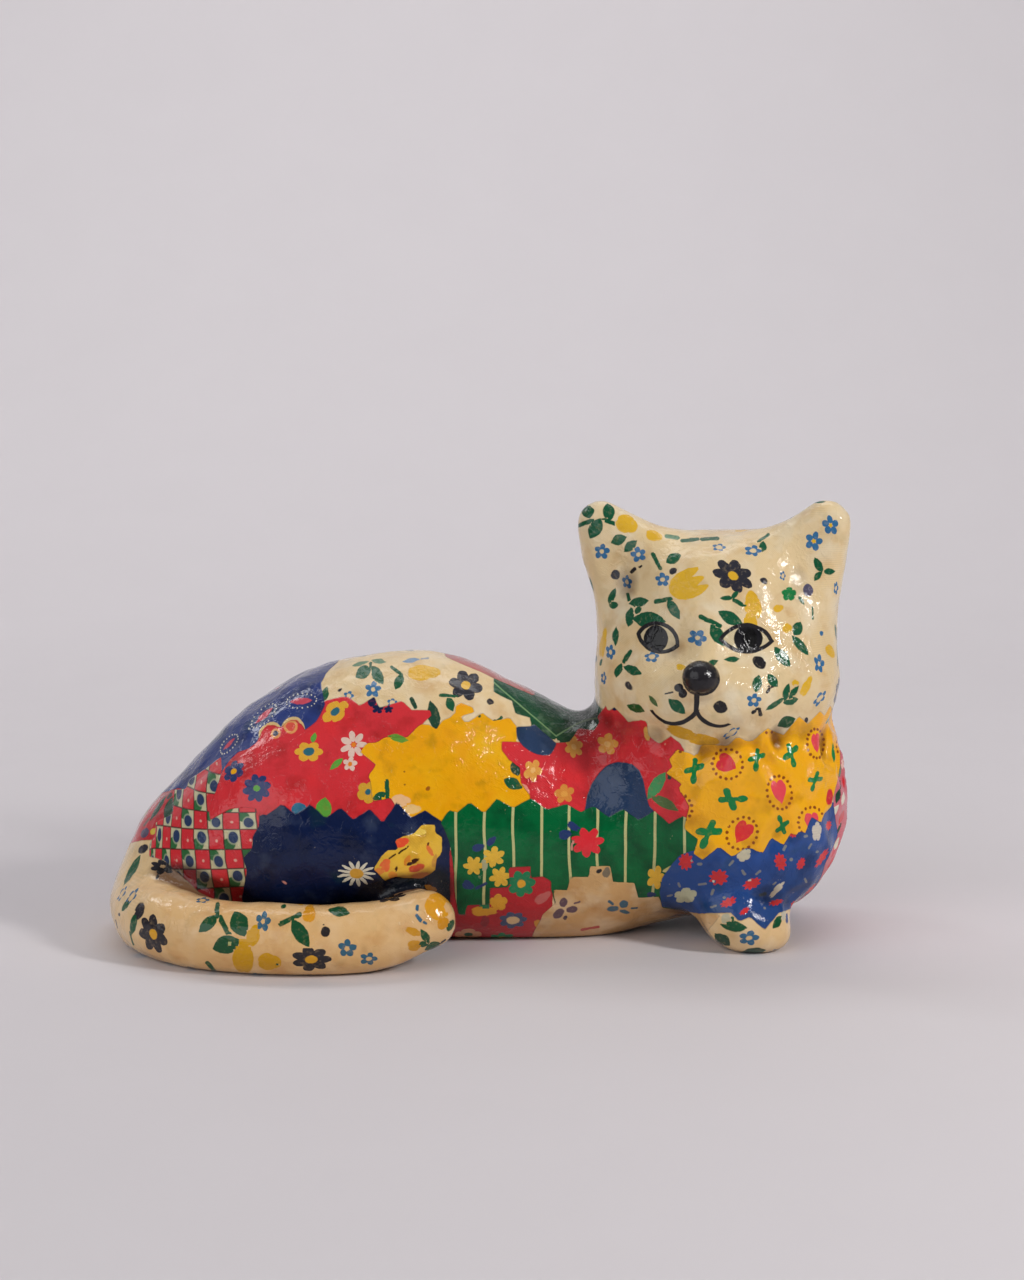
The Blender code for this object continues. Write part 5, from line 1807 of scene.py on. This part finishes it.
def fence_pattern(sheet, across, ground):
    """Thin upright cream lines on green that is darker in places."""
    sway = (sheet.cloud(26.0, 1.0, 31.0) - 0.5) * FENCE_SWAY_MM
    share = sheet.math("FRACT", (across + sway) / FENCE_PITCH_MM + FENCE_SHIFT) - 0.5
    line = (FENCE_LINE_MM - share.size() * FENCE_PITCH_MM).step(0.2)
    return sheet.mix(line * 0.9, blotted(sheet, ground, FENCE_BLOTS), linear(STRIPE_CREAM))


def chevron_pattern(sheet, across, up, ground):
    """Pale lines that meet in a point, on green that is darker in places, with blots of painted sheen."""
    left, right = CHEVRON_SLOPES
    beside = across - CHEVRON_MIDDLE_MM
    rise = sheet.most(beside * -left, beside * right)
    share = sheet.math("FRACT", (up - rise - CHEVRON_LOW_MM) / CHEVRON_PITCH_MM + (ROW_LIFT + 0.5)) - 0.5
    line = (CHEVRON_LINE_MM - share.size() * CHEVRON_PITCH_MM).step(0.3)
    return sheet.mix(line * 0.75, blotted(sheet, ground, CHEVRON_BLOTS), linear(CHEVRON_LINE))


# The painted face, in the photograph's pixels
Eye = namedtuple("Eye", "left right top bottom iris iris_wide iris_high pupil pupil_wide pupil_high")
EYES = (
    Eye((638.3, 633.4), (677.4, 645.4), (654.0, 623.4), (660.4, 651.8), (655.8, 638.6), 12.2, 13.4,
        (657.5, 638.4), 6.0, 9.5),
    Eye((721.0, 639.0), (771.6, 641.0), (747.2, 625.0), (746.5, 651.6), (748.2, 638.6), 14.3, 13.8,
        (750.0, 638.0), 7.0, 9.4),
)
EYE_LINE_MM = 1.55
NOSE_SPOTS = (((701.4, 679.0), 18.7, 17.0), ((678.7, 687.7), 4.6, 4.2), ((682.7, 693.0), 4.4, 4.6))
MOUTH_STEM = ((697.0, 694.0), (696.0, 711.8))
MOUTH_STEM_MM = 2.1
MOUTH_LEFT = ((696.5, 711.0), (676.0, 723.4), (652.0, 711.0))
MOUTH_RIGHT = ((697.0, 711.5), (708.5, 723.5), (728.0, 724.5))
MOUTH_LINE_MM = (1.0, 1.9)
DRAWN_BLUR_MM = 0.2
OVAL_BLUR_MM = 0.22
PUPIL_BLUR_MM = 0.5
NOSE_BLUR_MM = 0.4
ARC_SPARE_MM = 0.5
EYE_WHITE = (214, 198, 160)
IRIS_BLACK = (22, 21, 26)
PUPIL_BLACK = (8, 7, 9)


def face_mm(place):
    """A place on the face in mm from the nose, from its place in the photograph."""
    return ((place[0] - FACE_ORIGIN_PIXELS[0]) * FACE_MM_PER_PIXEL,
            (FACE_ORIGIN_PIXELS[1] - place[1]) * FACE_MM_PER_PIXEL)


def circle_through(a, b, c):
    """The middle and radius of the circle through three places."""
    ax, ay = a
    bx, by = b[0] - ax, b[1] - ay
    cx, cy = c[0] - ax, c[1] - ay
    double = 2.0 * (bx * cy - by * cx)
    x = (cy * (bx * bx + by * by) - by * (cx * cx + cy * cy)) / double
    y = (bx * (cx * cx + cy * cy) - cx * (bx * bx + by * by)) / double
    return (ax + x, ay + y), math.hypot(x, y)


def outside_circle(sheet, u, v, middle, radius):
    return sheet.length(u - middle[0], v - middle[1]) - radius


def inside_oval(sheet, u, v, place, wide, high):
    """How far a place lies inside an oval given in pixels, in mm."""
    middle = face_mm(place)
    wide *= FACE_MM_PER_PIXEL
    high *= FACE_MM_PER_PIXEL
    return (1.0 - sheet.length((u - middle[0]) / wide, (v - middle[1]) / high)) * min(wide, high)


def eye_masks(sheet, u, v, eye):
    """Where an eye's outline, the whole eye, its iris and its pupil show."""
    left, right = face_mm(eye.left), face_mm(eye.right)
    upper = outside_circle(sheet, u, v, *circle_through(left, face_mm(eye.top), right))
    lower = outside_circle(sheet, u, v, *circle_through(left, face_mm(eye.bottom), right))
    lens = sheet.most(upper, lower)
    line = (EYE_LINE_MM / 2 - lens.size()).step(DRAWN_BLUR_MM)
    whole = (0.0 - lens).step(DRAWN_BLUR_MM)
    iris = inside_oval(sheet, u, v, eye.iris, eye.iris_wide, eye.iris_high).step(OVAL_BLUR_MM) * whole
    pupil = inside_oval(sheet, u, v, eye.pupil, eye.pupil_wide, eye.pupil_high).step(PUPIL_BLUR_MM) * whole
    return line, whole, iris, pupil


def arc_mask(sheet, u, v, places):
    """A drawn line through three places, thick at the first and thin at the last."""
    first, through, last = [face_mm(place) for place in places]
    middle, radius = circle_through(first, through, last)
    length = math.dist(first, last)
    ahead_u, ahead_v = (last[0] - first[0]) / length, (last[1] - first[1]) / length
    from_u, from_v = u - first[0], v - first[1]
    side = from_u * -ahead_v + from_v * ahead_u
    along = (from_u * ahead_u + from_v * ahead_v) / length
    bulge = (through[0] - first[0]) * -ahead_v + (through[1] - first[1]) * ahead_u
    thin, thick = MOUTH_LINE_MM
    half = (thick + along.held() * (thin - thick)) * 0.5
    ring = half - outside_circle(sheet, u, v, middle, radius).size()
    on_arc = (side * math.copysign(1.0, bulge) + ARC_SPARE_MM).step(0.3)
    return ring.step(DRAWN_BLUR_MM) * on_arc


def line_mask(sheet, u, v, ends, width):
    """A straight drawn line."""
    start, end = [face_mm(place) for place in ends]
    course = (end[0] - start[0], end[1] - start[1])
    length = math.hypot(*course)
    along = ((u - start[0]) * course[0] + (v - start[1]) * course[1]) / length
    along = sheet.least(sheet.most(along, 0.0), length)
    near_u = u - (along * (course[0] / length) + start[0])
    near_v = v - (along * (course[1] / length) + start[1])
    return (width / 2 - sheet.length(near_u, near_v)).step(DRAWN_BLUR_MM)


def paint_features(sheet, colour):
    """The eyes, nose and mouth drawn over the prints."""
    u, v, on_face = sheet.place("face_place")
    u, v = sheet.wavered(u, v, FACE_WAVER_SIZE_MM, FACE_WAVER_MM, 2.0)
    allowed = (on_face - 0.5).step(0.2)
    ink = linear(CHARCOAL)
    for eye in EYES:
        line, whole, iris, pupil = eye_masks(sheet, u, v, eye)
        colour = sheet.mix(whole * allowed, colour, linear(EYE_WHITE))
        colour = sheet.mix(iris * allowed, colour, linear(IRIS_BLACK))
        colour = sheet.mix(pupil * allowed, colour, linear(PUPIL_BLACK))
        colour = sheet.mix(line * allowed, colour, ink)
    spots = [inside_oval(sheet, u, v, *spot).step(OVAL_BLUR_MM) for spot in NOSE_SPOTS]
    drawn = sheet.most(
        *spots,
        line_mask(sheet, u, v, MOUTH_STEM, MOUTH_STEM_MM),
        arc_mask(sheet, u, v, MOUTH_LEFT),
        arc_mask(sheet, u, v, MOUTH_RIGHT),
    )
    nose = sheet.number("nose_depth").step(NOSE_BLUR_MM)
    return sheet.mix(sheet.most(drawn * allowed, nose), colour, ink)


def add_level(sheet, level, groups):
    """One level of printed cloth: its colour, and how deep a place lies inside its cut edge."""
    ground = sheet.attribute(level + "_ground")
    ink = sheet.attribute(level + "_ink")
    core = sheet.attribute(level + "_core")
    cloth = sheet.group(
        groups["cloth"],
        Weave=sheet.attribute(level + "_weave").outputs["Vector"],
        Pattern=ground.outputs["Alpha"],
        Ground=ground.outputs["Color"],
    )
    colour = sheet.group(
        groups["print"],
        Place=sheet.attribute(level + "_place").outputs["Vector"],
        Size=sheet.attribute(level + "_size").outputs["Vector"],
        Shape=ink.outputs["Alpha"],
        Lobes=core.outputs["Alpha"],
        Ink=ink.outputs["Color"],
        Core=core.outputs["Color"],
        Ground=cloth,
    )
    if level == "base":
        return colour, None
    depth, along, teeth = sheet.place(level + "_edge")
    wave = sheet.math("PINGPONG", along, TOOTH_PITCH_MM / 2) / (TOOTH_PITCH_MM / 2)
    waver = sheet.cloud(4.0, 2.0, 6.0) - 0.5
    return colour, depth + teeth * (wave - 0.5) + waver * EDGE_WAVER_MM


# Age and painted shade: yellowed varnish, faint stains, dirt and painted shade in creases, worn or dirty
# specks
YELLOWED = (240, 196, 132)
YELLOW_BY_WARMTH = 0.55
YELLOW_BY_CLOUD = 0.28
STAINS = (
    Blot(8.0, 2.0, 5.0, 0.58, 6.0, 0.20, (150, 158, 128), "MULTIPLY"),
    Blot(5.0, 3.0, 7.0, 0.60, 6.0, 0.14, (176, 128, 74), "MULTIPLY"),
)
# The colour that darkens creases, the tail's side and the underside: dirt and painted shade
SHADE_AND_GRIME = (92, 52, 38)
SHADE_AND_GRIME_START_MM = 0.55
SHADE_AND_GRIME_SLOPE = 0.72
SHADE_AND_GRIME_UNEVEN = 0.8
SHADE_AND_GRIME_STRENGTH = 0.85
SPECKS = (
    Blot(2.6, 4.0, 8.0, 0.70, 12.0, 0.40, (214, 198, 158)),
    Blot(1.5, 2.0, 12.0, 0.75, 14.0, 0.60, (60, 42, 30)),
)

# The relief of the pasted paper, in mm
BRUSH_MARK_MM = 0.46
FIBRE_MM = 0.12
WRINKLE_MM = 0.07
WRINKLE_SHARPNESS = 22.0
PAPER_EDGE_MM = 0.14
PAPER_EDGE_BLUR_MM = 0.7
WEAVE_MM = 0.012

# How dark the weave's spots and the paper's edges are, and how rough the skin is under its varnish
WEAVE_SHADE = 0.09
BLACK = (0.0, 0.0, 0.0)
EDGE_SHADOW = (0.02, 0.012, 0.008)
EDGE_SHADOW_SLOPE = 2.2
EDGE_SHADOW_STRENGTH = 0.45
EDGE_BLUR_MM = 0.18
ROUGHNESS = 0.42
ROUGHNESS_RANGE = 0.3


def aged_and_shaded(sheet, colour):
    """Yellowed varnish, dirt and painted shade in creases, worn specks and the uneven tone of pasted paper.
    """
    hollow = sheet.number("hollow")
    warmth = sheet.number("warmth")
    cloud = sheet.patches(30.0, 3.0, 1.0, 0.45, 2.0)
    yellowed = (warmth * YELLOW_BY_WARMTH + cloud * YELLOW_BY_CLOUD).held()
    colour = sheet.mix(yellowed, colour, linear(YELLOWED), "MULTIPLY")
    colour = blotted(sheet, colour, STAINS)
    # Darker in creases, beside the tail and underneath: dirt and painted shade
    uneven = (sheet.cloud(6.0, 3.0, 14.0) - 0.5) * SHADE_AND_GRIME_UNEVEN
    shade_and_grime = ((hollow - SHADE_AND_GRIME_START_MM) * SHADE_AND_GRIME_SLOPE + uneven).held()
    colour = sheet.mix(shade_and_grime * SHADE_AND_GRIME_STRENGTH, colour, linear(SHADE_AND_GRIME), "MULTIPLY")
    return blotted(sheet, colour, SPECKS)


def paper_relief(sheet, edges):
    """The height of the pasted paper in mm: cut edges, brush marks, fibres and small wrinkles."""
    relief = (sheet.cloud(7.0, 3.0, 15.0) - 0.5) * BRUSH_MARK_MM
    relief = relief + (sheet.cloud(2.8, 3.0, 16.0) - 0.5) * FIBRE_MM
    from_wrinkle = (sheet.cloud(6.0, 4.0, 19.0) - 0.5).size()
    relief = relief + sheet.most(0.0, 1.0 - from_wrinkle * WRINKLE_SHARPNESS) * WRINKLE_MM
    for edge in edges:
        relief = relief + edge.step(PAPER_EDGE_BLUR_MM) * PAPER_EDGE_MM
    return relief


def woven(sheet):
    """The raised and sunk spots of a plain weave, from -1 to 1, where the varnish lets them show."""
    across, up, _ = sheet.place("base_weave")
    thread = math.tau / THREAD_PITCH_MM
    spots = sheet.math("SINE", across * thread) * sheet.math("SINE", up * thread)
    return spots * sheet.patches(14.0, 2.0, 41.0, 0.40, 5.0)


def skin_material():
    material = bpy.data.materials.new("varnished_scraps")
    material.use_nodes = True
    tree = material.node_tree
    sheet = Sheet(tree)
    shader = tree.nodes["Principled BSDF"]
    groups = {"print": build_print_group(), "cloth": build_cloth_group()}
    colour, _ = add_level(sheet, "base", groups)
    edges = []
    for level in ("middle", "top"):
        own_colour, edge = add_level(sheet, level, groups)
        shadow = (1.0 - edge.size() * EDGE_SHADOW_SLOPE).held() * EDGE_SHADOW_STRENGTH
        colour = sheet.mix(shadow, colour, EDGE_SHADOW)
        colour = sheet.mix(edge.step(EDGE_BLUR_MM), colour, own_colour)
        edges.append(edge)
    colour = paint_features(sheet, colour)
    weave = woven(sheet)
    colour = sheet.mix((weave * 0.5 + 0.5) * WEAVE_SHADE, colour, BLACK)
    sheet.feed(shader.inputs["Base Color"], aged_and_shaded(sheet, colour))
    patchy = sheet.cloud(11.0, 3.0, 21.0) - 0.5
    sheet.feed(shader.inputs["Roughness"], ROUGHNESS + patchy * ROUGHNESS_RANGE)
    shader.inputs["Specular IOR Level"].default_value = 0.04
    shader.inputs["Coat Weight"].default_value = 1.0
    shader.inputs["Coat IOR"].default_value = 1.33
    shader.inputs["Coat Roughness"].default_value = 0.06
    bump = tree.nodes.new("ShaderNodeBump")
    bump.inputs["Distance"].default_value = MM
    bump.inputs["Strength"].default_value = 1.0
    sheet.feed(bump.inputs["Height"], paper_relief(sheet, edges) - weave * WEAVE_MM)
    sheet.feed(shader.inputs["Normal"], bump.outputs["Normal"])
    sheet.feed(shader.inputs["Coat Normal"], bump.outputs["Normal"])
    return material


# The room
BACKDROP_COLOUR = (216, 211, 214)
BACKDROP_SHADE = (180, 174, 178)
FLOOR_FRONT = -0.5
WALL_PLACE = 1.6
WALL_HEIGHT = 2.2
COVE_RADIUS = 0.9
STAGE_HALF_WIDTH = 2.6
COVE_STEPS = 24
ROOM_LIGHT_LEVEL = 0.04
ROOM_LIGHT_ABOVE = 0.26
ROOM_LIGHT_COLOUR = (0.95, 0.94, 0.96, 1.0)


def make_stage():
    """A pale floor that curves up into a wall."""
    profile = [(FLOOR_FRONT, 0.0), (WALL_PLACE - COVE_RADIUS, 0.0)]
    for step in range(1, COVE_STEPS + 1):
        turn = math.pi / 2 * step / COVE_STEPS
        back = WALL_PLACE - COVE_RADIUS + COVE_RADIUS * math.sin(turn)
        profile.append((back, COVE_RADIUS * (1 - math.cos(turn))))
    profile.append((WALL_PLACE, WALL_HEIGHT))
    corners = [(side * STAGE_HALF_WIDTH, y, z) for y, z in profile for side in (-1, 1)]
    faces = [(2 * row, 2 * row + 1, 2 * row + 3, 2 * row + 2) for row in range(len(profile) - 1)]
    mesh = bpy.data.meshes.new("stage")
    mesh.from_pydata(corners, [], faces)
    mesh.shade_smooth()
    mesh.materials.append(stage_material())
    stage = bpy.data.objects.new("stage", mesh)
    bpy.context.scene.collection.objects.link(stage)


def stage_material():
    material = bpy.data.materials.new("pale_sheet")
    material.use_nodes = True
    sheet = Sheet(material.node_tree)
    shader = material.node_tree.nodes["Principled BSDF"]
    mottle = (sheet.cloud(60.0, 3.0) - 0.5) * 0.10 + 0.05
    shade = sheet.mix(mottle, linear(BACKDROP_COLOUR), linear(BACKDROP_SHADE))
    sheet.feed(shader.inputs["Base Color"], shade)
    shader.inputs["Roughness"].default_value = 0.8
    return material


def area_light(name, place, aim, size, watts, colour=(1.0, 1.0, 1.0)):
    data = bpy.data.lights.new(name, "AREA")
    data.shape = "RECTANGLE"
    data.size, data.size_y = size
    data.energy = watts
    data.color = colour
    light = bpy.data.objects.new(name, data)
    light.location = place
    light.rotation_euler = (Vector(aim) - Vector(place)).to_track_quat("-Z", "Y").to_euler()
    bpy.context.scene.collection.objects.link(light)


def make_lights():
    """A small window to the right in front, wide soft light from the left, and light on the backdrop."""
    area_light("window", (1.15, -0.72, 0.80), (0.0, 0.0, 0.08), (0.20, 0.36), 12.5, (1.0, 0.98, 0.96))
    area_light("soft_left", (-1.4, -1.5, 1.0), (0.0, 0.0, 0.06), (2.2, 1.8), 23.0, (0.97, 0.98, 1.0))
    area_light("back_left", (-1.1, 0.8, 1.3), (-0.05, 0.0, 0.08), (0.25, 0.5), 2.5)
    area_light("backdrop", (0.0, 0.9, 1.9), (0.0, 1.6, 0.9), (1.6, 1.0), 14.5)
    world = bpy.data.worlds.new("room")
    world.use_nodes = True
    sheet = Sheet(world.node_tree)
    background = world.node_tree.nodes["Background"]
    background.inputs["Color"].default_value = ROOM_LIGHT_COLOUR
    direction = world.node_tree.nodes.new("ShaderNodeTexCoord").outputs["Generated"]
    _, _, rise = sheet.split(direction)
    sheet.feed(background.inputs["Strength"], rise.held() * ROOM_LIGHT_ABOVE + ROOM_LIGHT_LEVEL)
    bpy.context.scene.world = world
    bpy.context.scene.view_settings.view_transform = "Standard"


def make_cat(cat):
    skin = make_skin(cat)
    paint(skin)
    mesh = skin.mesh
    mesh.materials.clear()
    mesh.materials.append(skin_material())
    mesh.shade_smooth()
    piece = bpy.data.objects.new("painted_cat", mesh)
    bpy.context.scene.collection.objects.link(piece)
    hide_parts("papier_mache_cat")
    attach(piece, "root")


def main():
    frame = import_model()
    make_camera()
    make_stage()
    make_lights()
    make_cat(frame["nodes"]["papier_mache_cat"])


main()
